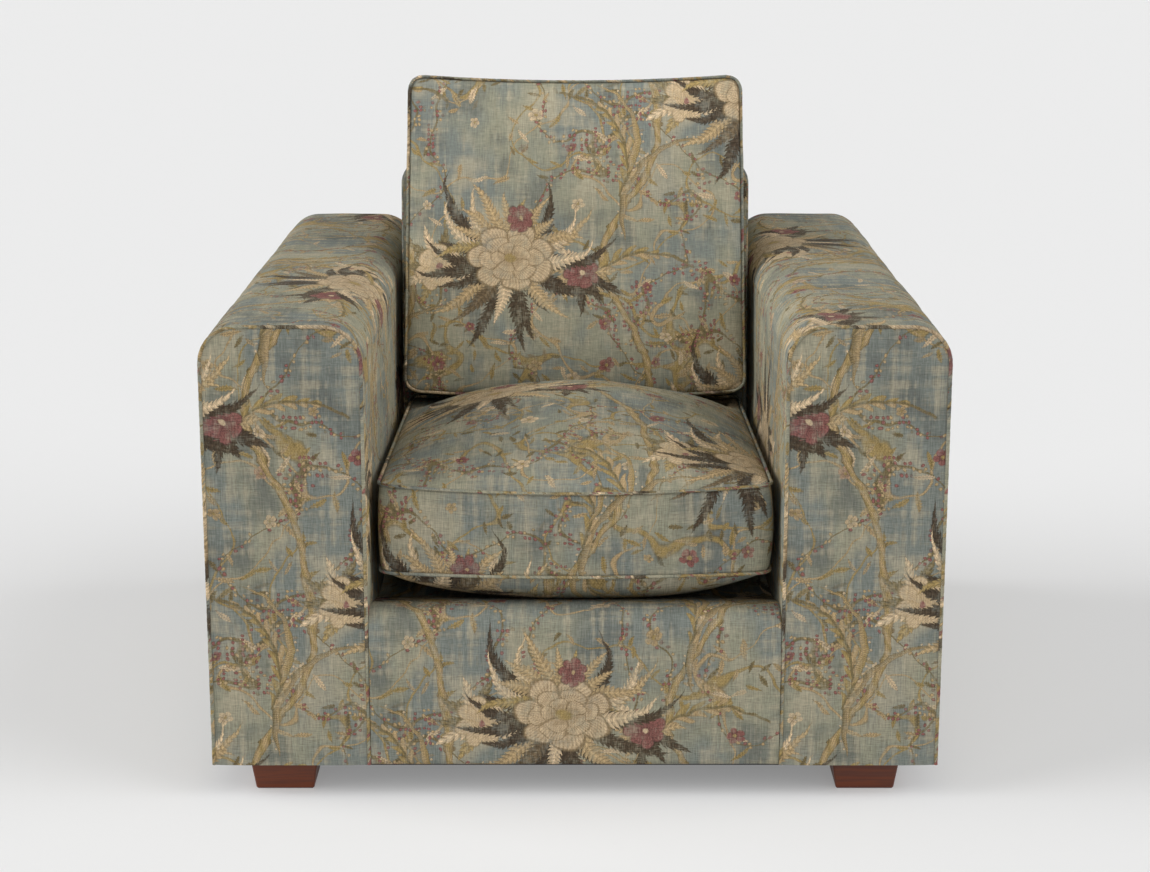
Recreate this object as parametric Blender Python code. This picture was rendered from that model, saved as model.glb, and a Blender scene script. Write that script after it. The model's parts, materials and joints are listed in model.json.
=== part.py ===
"""Box-arm armchair: two arm boxes, a seat frame and a fixed back, webbed, padded and covered, with a loose
seat cushion, a loose back cushion and four tapered feet. Left and right are as seen from the front.

Metres, +Z up, +Y to the back. The origin is on the floor under the middle of the chair.
"""

import math

import bmesh
import bpy
import numpy as np
from mathutils import Vector

# Overall sizes
OVERALL_WIDTH = 0.96
OVERALL_DEPTH = 1.01
FOOT_HEIGHT = 0.045
ARM_HEIGHT = 0.638
ARM_WIDTH = 0.209
ARM_CORNER = 0.048
BORDER_HEIGHT = 0.258
DECK_HEIGHT = 0.232
BACK_HEIGHT = 0.762
BACK_CORNER = 0.034
BACK_FOOT_DEPTH = 0.648
BACK_TOP_DEPTH = 0.722
BORDER_CORNER = 0.024
ROLL_FLAT_DEPTH = 0.026
ROLL_END_DEPTH = 0.18
ROLL_STEPS = 6
BORDER_TOP_DEPTH = 0.3

# Materials' thicknesses
GAP = 0.0003
CLOTH = 0.0015
DUST_CLOTH = 0.001
FOAM = 0.012
BOARD = 0.018
BASE_BOARD = 0.03
SIDE_BOARD = 0.015
RAIL = 0.022
HEM = 0.02

# Piping on the arm fronts and the cushions
ARM_PIPE_RADIUS = 0.0025
PIPE_PROUD = 0.0008
PANEL_RECESS = 0.001
PIPE_RADIUS = 0.0022
PIPE_SIDES = 6
PIPE_SEAM_GAP = 0.0005
PIPE_SLANT = math.radians(28)
PIPE_RISE = (PIPE_RADIUS + PIPE_SEAM_GAP) * math.sin(PIPE_SLANT) + PIPE_RADIUS
RIM_START = 0.96

# Webbing
WEB = 0.002
WEB_WIDTH = 0.06
SEAT_WEBS_LONG = 3
SEAT_WEBS_CROSS = 3
BACK_WEBS = 3
WEB_END_MARGIN = 0.004
WEB_FLAT_MARGIN = 0.006

# Feet and bolts
FOOT_TOP = 0.09
FOOT_BOTTOM = 0.077
FOOT_SIDE_INSET = 0.046
FOOT_END_INSET = 0.027
FOOT_EDGE = 0.002
STUD_RADIUS = 0.004
STUD_LENGTH = 0.024
STUD_ROOT = 0.012
BOLT_RADIUS = 0.004
BOLT_HEAD_RADIUS = 0.0075
BOLT_HEAD = 0.004
BOLT_HEIGHT = 0.16
BOLT_END_DISTANCE = 0.2
ROUND_STEPS = 10
CORNER_STEPS = 6

# Seat cushion
SEAT_SETBACK = 0.038
SEAT_SIDE_CLEARANCE = 0.0145
SEAT_REAR_CLEARANCE = 0.016
SEAT_BOXING = 0.118
SEAT_LIFT = 0.07
SEAT_CROWN = 0.0745
SEAT_TOP_FALL = 2.1
SEAT_TOP_FULLNESS = 0.8
SEAT_BELLY = 0.08
SEAT_CORNER = 0.015
SEAT_SEAM_DIP = 0.009
SEAT_BOTTOM_DIP = -0.003
SEAT_REAR_DROP = 0.013
SEAT_PRESS = 0.65
SEAT_PRESS_START = 0.5
SEAT_PRESS_END = 0.76
SEAT_FRONT_BOW = 0.012
SEAT_SIDE_BOW = 0.002
SEAT_TAPER = 0.025
SEAT_BULGE = 0.004

# Back cushion
BACK_CUSHION_SIDE_CLEARANCE = 0.0165
BACK_CUSHION_TAPER = 0.024
BACK_CUSHION_HEIGHT = 0.4955
BACK_CUSHION_BOXING = 0.105
BACK_CUSHION_CROWN = 0.034
BACK_CUSHION_CORNER = 0.022
BACK_CUSHION_DIP = 0.004
BACK_CUSHION_TOP_SAG = 0.009
BACK_CUSHION_BULGE = 0.006
BACK_CUSHION_RECLINE = math.radians(13.0)
BACK_CUSHION_BOTTOM = 0.404
BACK_CUSHION_SETTLE = 0.2
BACK_CUSHION_REST_CLEARANCE = 0.0012

# How finely a cushion is modelled
SIDE_POINTS = 6
CORNER_POINTS = 3
FACE_RINGS = 4
FACE_FALL = 2.6
FACE_FULLNESS = 0.55
BOXING_ROWS = (0.2, 0.42, 0.58, 0.8)
ZIP_FIRST_ROW = 1
FILLING_GAP = 0.0006
ZIP_SIDE_GAP = 0.0006

# Places worked out from the sizes
FRONT = -OVERALL_DEPTH / 2
REAR = OVERALL_DEPTH / 2
ARM_INNER = OVERALL_WIDTH / 2 - ARM_WIDTH
BASE = FOOT_HEIGHT
HEM_Z = BASE + DUST_CLOTH + GAP
FRAME_Z = HEM_Z + CLOTH + GAP
FOAM_INSET = CLOTH + GAP
BOARD_INSET = FOAM_INSET + FOAM + GAP
PANEL_INSET = 2 * ARM_PIPE_RADIUS - PIPE_PROUD + GAP
PANEL_FACE = FRONT + PANEL_RECESS
BOARD_FACE = PANEL_FACE + CLOTH + GAP + FOAM + GAP
COVER_END = REAR - CLOTH - GAP
SEAT_HALF = ARM_INNER - PIPE_PROUD - GAP
WEB_STACK = 2 * WEB + GAP
RAIL_TOP = DECK_HEIGHT - CLOTH - GAP - FOAM - GAP - WEB_STACK - GAP
BACK_FOOT = FRONT + BACK_FOOT_DEPTH
BACK_TOP = FRONT + BACK_TOP_DEPTH
BACK_SLOPE = math.atan2(BACK_TOP - BACK_FOOT, BACK_HEIGHT - DECK_HEIGHT)

SIDES = {"left": -1, "right": 1}
CUSHION_SIDES = ("near", "right", "far", "left")
CUSHION_FACES = ("upper", "lower")
PRINT_CLOTH = ((0.30, 0.34, 0.33), 0.9)
LINING = ((0.05, 0.05, 0.055), 0.95)
WADDING = ((0.82, 0.8, 0.74), 0.95)
PLYWOOD = ((0.62, 0.46, 0.28), 0.7)
BEECH = ((0.66, 0.45, 0.26), 0.65)
WEBBING = ((0.16, 0.14, 0.12), 0.85)
FOOT_WOOD = ((0.105, 0.028, 0.009), 0.4)
STEEL = ((0.6, 0.6, 0.62), 0.35, 1.0)
TAPE = ((0.2, 0.23, 0.23), 0.8)


def clear_scene():
    for obj in list(bpy.data.objects):
        bpy.data.objects.remove(obj)


def material_of(name, finish):
    colour, roughness, *metallic = finish
    made = bpy.data.materials.new(name)
    made.use_nodes = True
    shader = made.node_tree.nodes["Principled BSDF"]
    shader.inputs["Base Color"].default_value = (*colour, 1)
    shader.inputs["Roughness"].default_value = roughness
    shader.inputs["Metallic"].default_value = metallic[0] if metallic else 0.0
    return made


def add_mesh(name, points, faces, finish=None, smooth=False):
    """An object from points and faces, with its faces turned outward."""
    mesh = bpy.data.meshes.new(name)
    mesh.from_pydata([tuple(map(float, p)) for p in points], [], faces)
    shaped = bmesh.new()
    shaped.from_mesh(mesh)
    bmesh.ops.recalc_face_normals(shaped, faces=shaped.faces)
    shaped.to_mesh(mesh)
    shaped.free()
    obj = bpy.data.objects.new(name, mesh)
    bpy.context.scene.collection.objects.link(obj)
    if finish:
        mesh.materials.append(material_of(name, finish))
    if smooth:
        mesh.shade_smooth()
        mesh.set_sharp_from_angle(angle=math.radians(35))
    return obj


def cutter(obj):
    obj.hide_render = True
    obj.display_type = "WIRE"
    return obj


def combine(obj, operation, other):
    """A Boolean on obj, whose other solid is kept as a helper."""
    cutter(other)
    modifier = obj.modifiers.new(f"{operation.lower()} {other.name}", "BOOLEAN")
    modifier.operation = operation
    modifier.object = other
    modifier.solver = "EXACT"
    return obj


def prism(name, outline, axis, start, end, finish=None, smooth=False):
    """An outline of two coordinates, drawn out along the third axis from start to end."""
    place = {
        "X": lambda along, p: (along, p[0], p[1]),
        "Y": lambda along, p: (p[0], along, p[1]),
        "Z": lambda along, p: (p[0], p[1], along),
    }[axis]
    count = len(outline)
    points = [place(start, p) for p in outline] + [place(end, p) for p in outline]
    sides = [(i, (i + 1) % count, count + (i + 1) % count, count + i) for i in range(count)]
    caps = [tuple(range(count)), tuple(range(count, 2 * count))]
    return add_mesh(name, points, sides + caps, finish, smooth)


def plank(name, low, high, finish=None):
    """A square-edged board between two corners."""
    outline = [(low[0], low[2]), (high[0], low[2]), (high[0], high[2]), (low[0], high[2])]
    return prism(name, outline, "Y", low[1], high[1], finish)


def rod(name, centre, radius, axis, start, end, finish=None):
    """A round bar along X or Z; centre gives its two other coordinates."""
    turns = [2 * math.pi * i / ROUND_STEPS for i in range(ROUND_STEPS)]
    outline = [(centre[0] + radius * math.cos(a), centre[1] + radius * math.sin(a)) for a in turns]
    return prism(name, outline, axis, start, end, finish, smooth=finish is not None)


def arc(centre, radius, first, last, steps=CORNER_STEPS):
    """Points on an arc, from the first angle to the last, in degrees."""
    angles = [math.radians(first + (last - first) * i / steps) for i in range(steps + 1)]
    return [(centre[0] + radius * math.cos(a), centre[1] + radius * math.sin(a)) for a in angles]


def arch(left, right, top, corner, foot):
    """The line of an arch with round top corners, from its left foot over to its right foot."""
    return [
        (left, foot),
        *arc((left + corner, top - corner), corner, 180, 90),
        *arc((right - corner, top - corner), corner, 90, 0),
        (right, foot),
    ]


def arm_arch(side, inset, foot):
    """The arm's cross-section, inset from its outer surface, from its outer foot to its inner foot."""
    outer, inner = OVERALL_WIDTH / 2 - inset, ARM_INNER + inset
    points = arch(-outer, -inner, ARM_HEIGHT - inset, ARM_CORNER - inset, foot)
    return [(-side * x, z) for x, z in points]


def tube(name, path, radius, up, finish, closed):
    """A round cord along a path. Its section turns about the given up direction."""
    path = [Vector(p) for p in path]
    up = Vector(up)
    count = len(path)
    points = []
    for i, p in enumerate(path):
        before = path[i - 1] if i or closed else p
        after = path[(i + 1) % count] if i + 1 < count or closed else p
        along = (after - before).normalized()
        across = along.cross(up).normalized()
        square = across.cross(along)
        for k in range(PIPE_SIDES):
            turn = 2 * math.pi * k / PIPE_SIDES
            points.append(p + radius * (math.cos(turn) * across + math.sin(turn) * square))
    faces = []
    for i in range(count if closed else count - 1):
        here, there = i * PIPE_SIDES, (i + 1) % count * PIPE_SIDES
        for k in range(PIPE_SIDES):
            n = (k + 1) % PIPE_SIDES
            faces.append((here + k, here + n, there + n, there + k))
    if not closed:
        last = (count - 1) * PIPE_SIDES
        faces.append(tuple(range(PIPE_SIDES)))
        faces.append(tuple(range(last, last + PIPE_SIDES)))
    return add_mesh(name, points, faces, finish, smooth=True)


def arm_boards(label, side):
    """The arm's box: end boards with round corners, a top board, a base board and an inner side board."""
    face = arm_arch(side, BOARD_INSET, FRAME_Z)
    front_end = BOARD_FACE + BOARD
    back_start = COVER_END - BOARD
    prism(f"{label}_arm_front_board", face, "Y", BOARD_FACE, front_end, PLYWOOD)
    prism(f"{label}_arm_back_board", face, "Y", back_start, COVER_END, PLYWOOD)
    start, end = front_end + GAP, back_start - GAP

    top = ARM_HEIGHT - BOARD_INSET
    corner = ARM_CORNER - BOARD_INSET
    low_angle = math.degrees(math.asin((corner - BOARD) / corner))
    outer, inner = OVERALL_WIDTH / 2 - BOARD_INSET, ARM_INNER + BOARD_INSET
    cap = [
        *arc((inner + corner, top - corner), corner, 180 - low_angle, 90),
        *arc((outer - corner, top - corner), corner, 90, low_angle),
    ]
    prism(f"{label}_arm_top_board", [(side * x, z) for x, z in cap], "Y", start, end, BEECH)

    spans = sorted((side * outer, side * inner))
    base_top = FRAME_Z + BASE_BOARD
    base = plank(f"{label}_arm_base_board", (spans[0], start, FRAME_Z), (spans[1], end, base_top), BEECH)
    for centre in foot_centres(side):
        hole = rod(f"{label} stud hole", centre, STUD_RADIUS + GAP, "Z", FRAME_Z - CLOTH, base_top + CLOTH)
        combine(base, "DIFFERENCE", hole)
    spans = sorted((side * inner, side * (inner + SIDE_BOARD)))
    low, high = (spans[0], start, base_top + GAP), (spans[1], end, ARM_HEIGHT - ARM_CORNER - GAP)
    return plank(f"{label}_arm_inner_board", low, high, PLYWOOD)


def arm_padding(label, side):
    """One foam wrap: over the arm from front to back, closed by a slab behind the front panel."""
    outer = arm_arch(side, FOAM_INSET, FRAME_Z)
    inner = arm_arch(side, FOAM_INSET + FOAM, FRAME_Z)
    wrap_start = FRONT + 2 * ARM_PIPE_RADIUS + GAP
    wrap = prism(f"{label}_arm_padding", outer + inner[::-1], "Y", wrap_start, COVER_END, WADDING)
    slab = prism(
        f"{label} padding slab",
        arm_arch(side, PANEL_INSET, FRAME_Z),
        "Y",
        PANEL_FACE + CLOTH + GAP,
        PANEL_FACE + CLOTH + GAP + FOAM,
    )
    return combine(wrap, "UNION", slab)


def arm_cover(label, side):
    """The cloth over the arm in one piece, with its raw edges turned under the base."""
    outer, inner = OVERALL_WIDTH / 2, ARM_INNER
    outline = [
        (side * (outer - HEM), HEM_Z),
        *arm_arch(side, 0, HEM_Z),
        (side * (inner + HEM), HEM_Z),
        (side * (inner + HEM), HEM_Z + CLOTH),
        *arm_arch(side, CLOTH, HEM_Z + CLOTH)[::-1],
        (side * (outer - HEM), HEM_Z + CLOTH),
    ]
    start = FRONT + 2 * ARM_PIPE_RADIUS + GAP
    return prism(f"{label}_arm_cover", outline, "Y", start, COVER_END, PRINT_CLOTH, smooth=True)


def arm_front(label, side):
    """The front facing panel and the piping in the seam round it."""
    outline = arm_arch(side, PANEL_INSET, HEM_Z)
    prism(f"{label}_arm_front_panel", outline, "Y", PANEL_FACE, PANEL_FACE + CLOTH, PRINT_CLOTH)
    seam = arm_arch(side, ARM_PIPE_RADIUS - PIPE_PROUD, HEM_Z)
    path = [(x, FRONT + ARM_PIPE_RADIUS, z) for x, z in seam]
    tube(f"{label}_arm_front_piping", path, ARM_PIPE_RADIUS, (0, 1, 0), PRINT_CLOTH, closed=False)


def bolt_places():
    return {"front": FRONT + BOLT_END_DISTANCE, "rear": REAR - BOLT_END_DISTANCE}


def bolt_holes(obj, side):
    """Clearance holes through obj for the bolts that hold this arm to the seat frame."""
    for label, y in bolt_places().items():
        ends = side * (SEAT_HALF - 2 * RAIL), side * (ARM_INNER + 2 * BOARD_INSET + SIDE_BOARD)
        centre = (y, BOLT_HEIGHT)
        hole = rod(f"{obj.name} {label} hole", centre, BOLT_RADIUS + GAP, "X", min(ends), max(ends))
        combine(obj, "DIFFERENCE", hole)


def arm_bolts(label, side):
    """Two bolts through the seat rail into the arm's inner board, each with a round head."""
    head_face = SEAT_HALF - RAIL - GAP
    tip = ARM_INNER + BOARD_INSET + SIDE_BOARD
    for end, y in bolt_places().items():
        shank = sorted((side * (head_face - BOLT_HEAD / 2), side * tip))
        bolt = rod(f"{label}_{end}_arm_bolt", (y, BOLT_HEIGHT), BOLT_RADIUS, "X", *shank, STEEL)
        head = sorted((side * (head_face - BOLT_HEAD), side * head_face))
        combine(bolt, "UNION", rod(f"{label} {end} head", (y, BOLT_HEIGHT), BOLT_HEAD_RADIUS, "X", *head))


def foot_centres(side):
    x = side * (OVERALL_WIDTH / 2 - FOOT_SIDE_INSET - FOOT_TOP / 2)
    end = OVERALL_DEPTH / 2 - FOOT_END_INSET - FOOT_TOP / 2
    return [(x, -end), (x, end)]


def foot(name, centre):
    """A tapered block with eased edges and the stud that screws it to the arm's base board."""
    top = BASE - GAP
    corners = [(-1, -1), (1, -1), (1, 1), (-1, 1)]
    points = [
        (centre[0] + sx * width / 2, centre[1] + sy * width / 2, z)
        for width, z in ((FOOT_BOTTOM, 0.0), (FOOT_TOP, top))
        for sx, sy in corners
    ]
    faces = [(0, 1, 2, 3), (4, 5, 6, 7), (0, 1, 5, 4), (1, 2, 6, 5), (2, 3, 7, 6), (3, 0, 4, 7)]
    block = add_mesh(name, points, faces, FOOT_WOOD)
    eased = block.modifiers.new("eased edges", "BEVEL")
    eased.width = FOOT_EDGE
    eased.segments = 1
    stud = rod(f"{name} stud", centre, STUD_RADIUS, "Z", top - STUD_ROOT, top + STUD_LENGTH)
    return combine(block, "UNION", stud)


def dust_cover():
    """Black cloth under the whole base, with a hole for each foot's stud."""
    inset = PANEL_INSET + GAP
    half, end = OVERALL_WIDTH / 2 - inset, OVERALL_DEPTH / 2 - inset
    cloth = plank("dust_cover", (-half, -end, BASE), (half, end, BASE + DUST_CLOTH), LINING)
    for side in SIDES.values():
        for centre in foot_centres(side):
            hole = rod("dust cover hole", centre, STUD_RADIUS + 2 * GAP, "Z", BASE - CLOTH, HEM_Z + CLOTH)
            combine(cloth, "DIFFERENCE", hole)
    return cloth


def seat_frame():
    """Two full-depth side rails, and between them a front rail, one at the seat's back and a rear one."""
    rail_start = BOARD_FACE
    for label, side in SIDES.items():
        spans = sorted((side * (SEAT_HALF - RAIL), side * SEAT_HALF))
        low, high = (spans[0], rail_start, FRAME_Z), (spans[1], COVER_END, RAIL_TOP)
        bolt_holes(plank(f"{label}_seat_side_rail", low, high, BEECH), side)
    half = SEAT_HALF - RAIL - GAP
    starts = {
        "seat_front_rail": rail_start,
        "seat_back_rail": BACK_FOOT - RAIL,
        "seat_rear_rail": COVER_END - RAIL,
    }
    for name, start in starts.items():
        plank(name, (-half, start, FRAME_Z), (half, start + RAIL, RAIL_TOP), BEECH)


def spread(count, low, high):
    """The middles of count equal shares of the way from low to high."""
    return [low + (high - low) * (i + 0.5) / count for i in range(count)]


def woven_strap(name, start, end, crossings, place, centre):
    """A strap that passes over or under each crossing strap; crossings are (distance, is over)."""
    flat = WEB_WIDTH / 2 + WEB_FLAT_MARGIN
    line = [(start, 0)]
    for at, over in crossings:
        line += [(at - flat, over), (at + flat, over)]
    line.append((end, 0))
    base = RAIL_TOP + GAP
    step = WEB + GAP
    lower = [(s, base + level * step) for s, level in line]
    upper = [(s, z + WEB) for s, z in lower]
    low, high = centre - WEB_WIDTH / 2, centre + WEB_WIDTH / 2
    return prism(name, lower + upper[::-1], place, low, high, WEBBING)


def seat_webs():
    """Straps from front to back and from side to side, each over one and under the next."""
    front, back = BOARD_FACE + WEB_END_MARGIN, BACK_FOOT - WEB_END_MARGIN
    half = SEAT_HALF - WEB_END_MARGIN
    columns = spread(SEAT_WEBS_LONG, -half, half)
    rows = spread(SEAT_WEBS_CROSS, front + RAIL, back - RAIL)
    for i, x in enumerate(columns):
        crossings = [(y, (i + j) % 2) for j, y in enumerate(rows)]
        woven_strap(f"seat_web_long_{i + 1}", front, back, crossings, "X", x)
    for j, y in enumerate(rows):
        crossings = [(x, (i + j + 1) % 2) for i, x in enumerate(columns)]
        woven_strap(f"seat_web_cross_{j + 1}", -half, half, crossings, "Y", y)


def deck_height(y):
    """The height of the roll along the seat's front edge, which eases down to the flat deck."""
    share = (y - FRONT - ROLL_FLAT_DEPTH) / (ROLL_END_DEPTH - ROLL_FLAT_DEPTH)
    eased = (1 + math.cos(math.pi * min(max(share, 0.0), 1.0))) / 2
    return DECK_HEIGHT + (BORDER_HEIGHT - DECK_HEIGHT) * eased


def border_line(inset, foot, end):
    """The front border's side view: up the face, over the roll and back along the deck."""
    corner = BORDER_CORNER - inset
    line = [(PANEL_FACE + inset, foot)]
    line += arc((PANEL_FACE + BORDER_CORNER, BORDER_HEIGHT - BORDER_CORNER), corner, 180, 90)
    for i in range(ROLL_STEPS + 1):
        y = FRONT + ROLL_FLAT_DEPTH + (ROLL_END_DEPTH - ROLL_FLAT_DEPTH) * i / ROLL_STEPS
        line.append((y, deck_height(y) - inset))
    line.append((end, DECK_HEIGHT - inset))
    return line


def seat_upholstery():
    """One padding piece, with the front roll, over the webs and down the front, and the cloths over it."""
    deck_end = BACK_FOOT - GAP
    under = DECK_HEIGHT - FOAM_INSET - FOAM
    behind = PANEL_FACE + FOAM_INSET + FOAM
    padding = border_line(FOAM_INSET, FRAME_Z, deck_end)
    padding += [(deck_end, under), (behind, under), (behind, FRAME_Z)]
    prism("seat_padding", padding, "X", -SEAT_HALF, SEAT_HALF, WADDING)
    cloth_end = FRONT + BORDER_TOP_DEPTH
    cloth = [
        (PANEL_FACE + HEM, HEM_Z),
        *border_line(0, HEM_Z, cloth_end),
        *border_line(CLOTH, HEM_Z + CLOTH, cloth_end)[::-1],
        (PANEL_FACE + HEM, HEM_Z + CLOTH),
    ]
    prism("front_border_cover", cloth, "X", -SEAT_HALF, SEAT_HALF, PRINT_CLOTH, smooth=True)
    low = (-SEAT_HALF, cloth_end + GAP, DECK_HEIGHT - CLOTH)
    plank("deck_cloth", low, (SEAT_HALF, deck_end, DECK_HEIGHT), PRINT_CLOTH)


def inside_back(z, inset=0.0):
    """How far back the fixed back's inside face is at a height, inset square to the face."""
    rise = max(z - DECK_HEIGHT, 0.0)
    return BACK_FOOT + rise * math.tan(BACK_SLOPE) + inset / math.cos(BACK_SLOPE)


def back_body(name, inset, foot, rear, finish=None):
    """The fixed back's block at an inset: sloped in front, with round top corners and top front edge."""
    top = BACK_HEIGHT - inset
    corner = BACK_CORNER - inset
    lean = math.degrees(BACK_SLOPE)
    # The corner's centre is one radius behind the sloped face and one below the top.
    centre = (inside_back(top - corner, BACK_CORNER), top - corner)
    profile = [
        (inside_back(foot, inset), foot),
        (inside_back(DECK_HEIGHT, inset), DECK_HEIGHT),
        *arc(centre, corner, 180 - lean, 90),
        (rear, top),
        (rear, foot),
    ]
    half = SEAT_HALF - inset
    block = prism(name, profile, "X", -half, half, finish)
    front = FRONT + BACK_FOOT_DEPTH / 2
    outline = arch(-half, half, top, corner, foot - CLOTH)
    return combine(block, "INTERSECT", prism(f"{name} outline", outline, "Y", front, rear + CLOTH))


def back_shell(name, inset, thickness, finish):
    """A layer of the fixed back, open underneath and at the rear."""
    foot = RAIL_TOP + GAP
    layer = back_body(name, inset, foot, COVER_END, finish)
    hollow = back_body(f"{name} hollow", inset + thickness, foot - BOARD, COVER_END + BOARD)
    return combine(layer, "DIFFERENCE", hollow)


def fixed_back():
    """Side posts and a top board, straps across the front, then padding and cloth."""
    back_shell("back_cover", 0.0, CLOTH, PRINT_CLOTH)
    back_shell("back_padding", FOAM_INSET, FOAM, WADDING)
    board_low = BACK_HEIGHT - BOARD_INSET - BOARD
    board = back_body("back_top_board", BOARD_INSET, RAIL_TOP, COVER_END, BEECH)
    slab = plank("top board slab", (-SEAT_HALF, FRONT, board_low), (SEAT_HALF, REAR, BACK_HEIGHT))
    combine(board, "INTERSECT", slab)

    post_inset = BOARD_INSET + WEB + GAP
    foot, top = RAIL_TOP + GAP, board_low - GAP
    profile = [
        (inside_back(foot, post_inset), foot),
        (inside_back(DECK_HEIGHT, post_inset), DECK_HEIGHT),
        (inside_back(top, post_inset), top),
        (COVER_END, top),
        (COVER_END, foot),
    ]
    outer = SEAT_HALF - BOARD_INSET
    for label, side in SIDES.items():
        spans = sorted((side * (outer - RAIL), side * outer))
        prism(f"{label}_back_post", profile, "X", *spans, BEECH)

    up = Vector((0, math.sin(BACK_SLOPE), math.cos(BACK_SLOPE)))
    for i, z in enumerate(spread(BACK_WEBS, DECK_HEIGHT + WEB_WIDTH, top)):
        middle = Vector((0, inside_back(z, BOARD_INSET), z))
        low, high = middle - up * WEB_WIDTH / 2, middle + up * WEB_WIDTH / 2
        through = Vector((0, math.cos(BACK_SLOPE), -math.sin(BACK_SLOPE))) * WEB
        outline = [(p.y, p.z) for p in (low, high, high + through, low + through)]
        prism(f"back_web_{i + 1}", outline, "X", -outer, outer, WEBBING)


def outside_back_panel():
    """One cloth panel over the ends of both arms and the fixed back."""
    edge = PANEL_INSET - GAP
    outer, inner = OVERALL_WIDTH / 2 - edge, ARM_INNER + edge
    arm = arch(-outer, -inner, ARM_HEIGHT - edge, ARM_CORNER - edge, HEM_Z)[:-1]
    half = SEAT_HALF - edge
    middle = arch(-half, half, BACK_HEIGHT - edge, BACK_CORNER - edge, ARM_HEIGHT - ARM_CORNER)
    other_arm = [(-x, z) for x, z in arm[::-1]]
    return prism("outside_back_panel", arm + middle + other_arm, "Y", REAR - CLOTH, REAR, PRINT_CLOTH)


class Cushion:
    """A boxed cushion: two crowned faces and a boxing strip, as rings of points from the middle of one face
    over the seams to the middle of the other. x runs across, y along and z through it."""

    def __init__(self, half_width, half_length, boxing, crowns, dips, corner, bulge, bow, press=None):
        self.half_width, self.half_length = half_width, half_length
        self.boxing, self.crowns, self.dips = boxing, crowns, dips
        self.corner, self.bulge, self.bow = corner, bulge, bow
        self.press = press or (lambda v, face: 1.0)

    def outline(self):
        """The seam's plan, counter-clockwise from the near left, as (x, y, u, v)."""
        a, b, r = self.half_width, self.half_length, self.corner
        turns = [(a - r, -b + r, -90), (a - r, b - r, 0), (-a + r, b - r, 90), (-a + r, -b + r, 180)]
        points = []
        for i, (x, y, angle) in enumerate(turns):
            last = turns[i - 1]
            start = arc(last[:2], r, last[2], last[2] + 90, CORNER_POINTS)[-1]
            corner = arc((x, y), r, angle, angle + 90, CORNER_POINTS)
            for k in range(1, SIDE_POINTS):
                share = k / SIDE_POINTS
                points.append(tuple(s + (c - s) * share for s, c in zip(start, corner[0])))
            points += corner
        found = []
        for x, y in points:
            u, v = x / a, y / b
            reach = max(abs(u), abs(v))
            found.append((x, y, u / reach, v / reach))
        return found

    def seam_height(self, u, v, face):
        """How far a face's seam stands from the middle plane; face 0 is the upper one and 1 the lower."""
        return self.boxing / 2 - self.dips[face] * (1 - (u * v) ** 2)

    def face_height(self, u, v, face):
        """How far a face stands from the middle plane."""
        crown, fall, fullness = self.crowns[face]
        rise = max(1 - abs(u) ** fall, 0) * max(1 - abs(v) ** fall, 0)
        return self.seam_height(u, v, face) + crown * self.press(v, face) * rise**fullness

    def rings(self):
        """Rings of points from one face's middle to the other's, without the two middles."""
        plan = self.outline()
        seam = [self.bow(x, y, u, v) for x, y, u, v in plan]
        count = len(plan)
        outward = []
        for i in range(count):
            (x0, y0), (x1, y1) = seam[i - 1], seam[(i + 1) % count]
            length = math.hypot(x1 - x0, y1 - y0)
            outward.append(((y1 - y0) / length, (x0 - x1) / length))
        shares = [math.sin(math.pi / 2 * k / FACE_RINGS) for k in range(1, FACE_RINGS + 1)]

        def face_ring(share, face):
            ring = []
            for x, y, u, v in plan:
                x, y = self.bow(x * share, y * share, u * share, v * share)
                ring.append((x, y, (1 - 2 * face) * self.face_height(u * share, v * share, face)))
            return ring

        def boxing_row(t):
            ring = []
            for (x, y), (nx, ny), (_, _, u, v) in zip(seam, outward, plan):
                out = self.bulge * math.sin(math.pi * t)
                upper, lower = self.seam_height(u, v, 0), -self.seam_height(u, v, 1)
                ring.append((x + nx * out, y + ny * out, upper + (lower - upper) * t))
            return ring

        top = [face_ring(s, 0) for s in shares]
        bottom = [face_ring(s, 1) for s in shares[::-1]]
        return top + [boxing_row(t) for t in BOXING_ROWS] + bottom

    def points(self, place):
        """All points, the face middles first and last, put in place by the function given."""
        first = (*self.bow(0, 0, 0, 0), self.face_height(0, 0, 0))
        last = (*self.bow(0, 0, 0, 0), -self.face_height(0, 0, 1))
        flat = [p for ring in self.rings() for p in ring]
        return np.array([place(*p) for p in (first, *flat, last)])

    def pipe_path(self, points, ring_index, through):
        """The cord's path beside a seam: one radius and a little more away from it, out and up."""
        count = len(self.outline())
        ring = points[1 + ring_index * count : 1 + (ring_index + 1) * count]
        away = PIPE_RADIUS + PIPE_SEAM_GAP
        before, after = np.roll(ring, 1, axis=0), np.roll(ring, -1, axis=0)
        outward = np.cross(after - before, np.array(through, float))
        outward /= np.linalg.norm(outward, axis=1)[:, None]
        sign = 1 if ring_index < FACE_RINGS else -1
        level = math.cos(PIPE_SLANT) * outward
        return ring + away * (level + sign * math.sin(PIPE_SLANT) * np.array(through, float))


def grid_faces(rings, count):
    """Triangle pairs between neighbouring rings, by place, and the fans round the first and last points."""
    pairs = {}
    for r in range(rings - 1):
        for i in range(count):
            n = (i + 1) % count
            here, there = 1 + r * count, 1 + (r + 1) * count
            pairs[r, i] = ((here + i, there + i, there + n), (here + i, there + n, here + n))
    last = 1 + rings * count
    near = [(0, 1 + i, 1 + (i + 1) % count) for i in range(count)]
    far = [(last, last - count + (i + 1) % count, last - count + i) for i in range(count)]
    return pairs, near + far


def flat_list(pairs, fans, skipped=()):
    return [face for key, pair in pairs.items() if key not in skipped for face in pair] + fans


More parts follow.
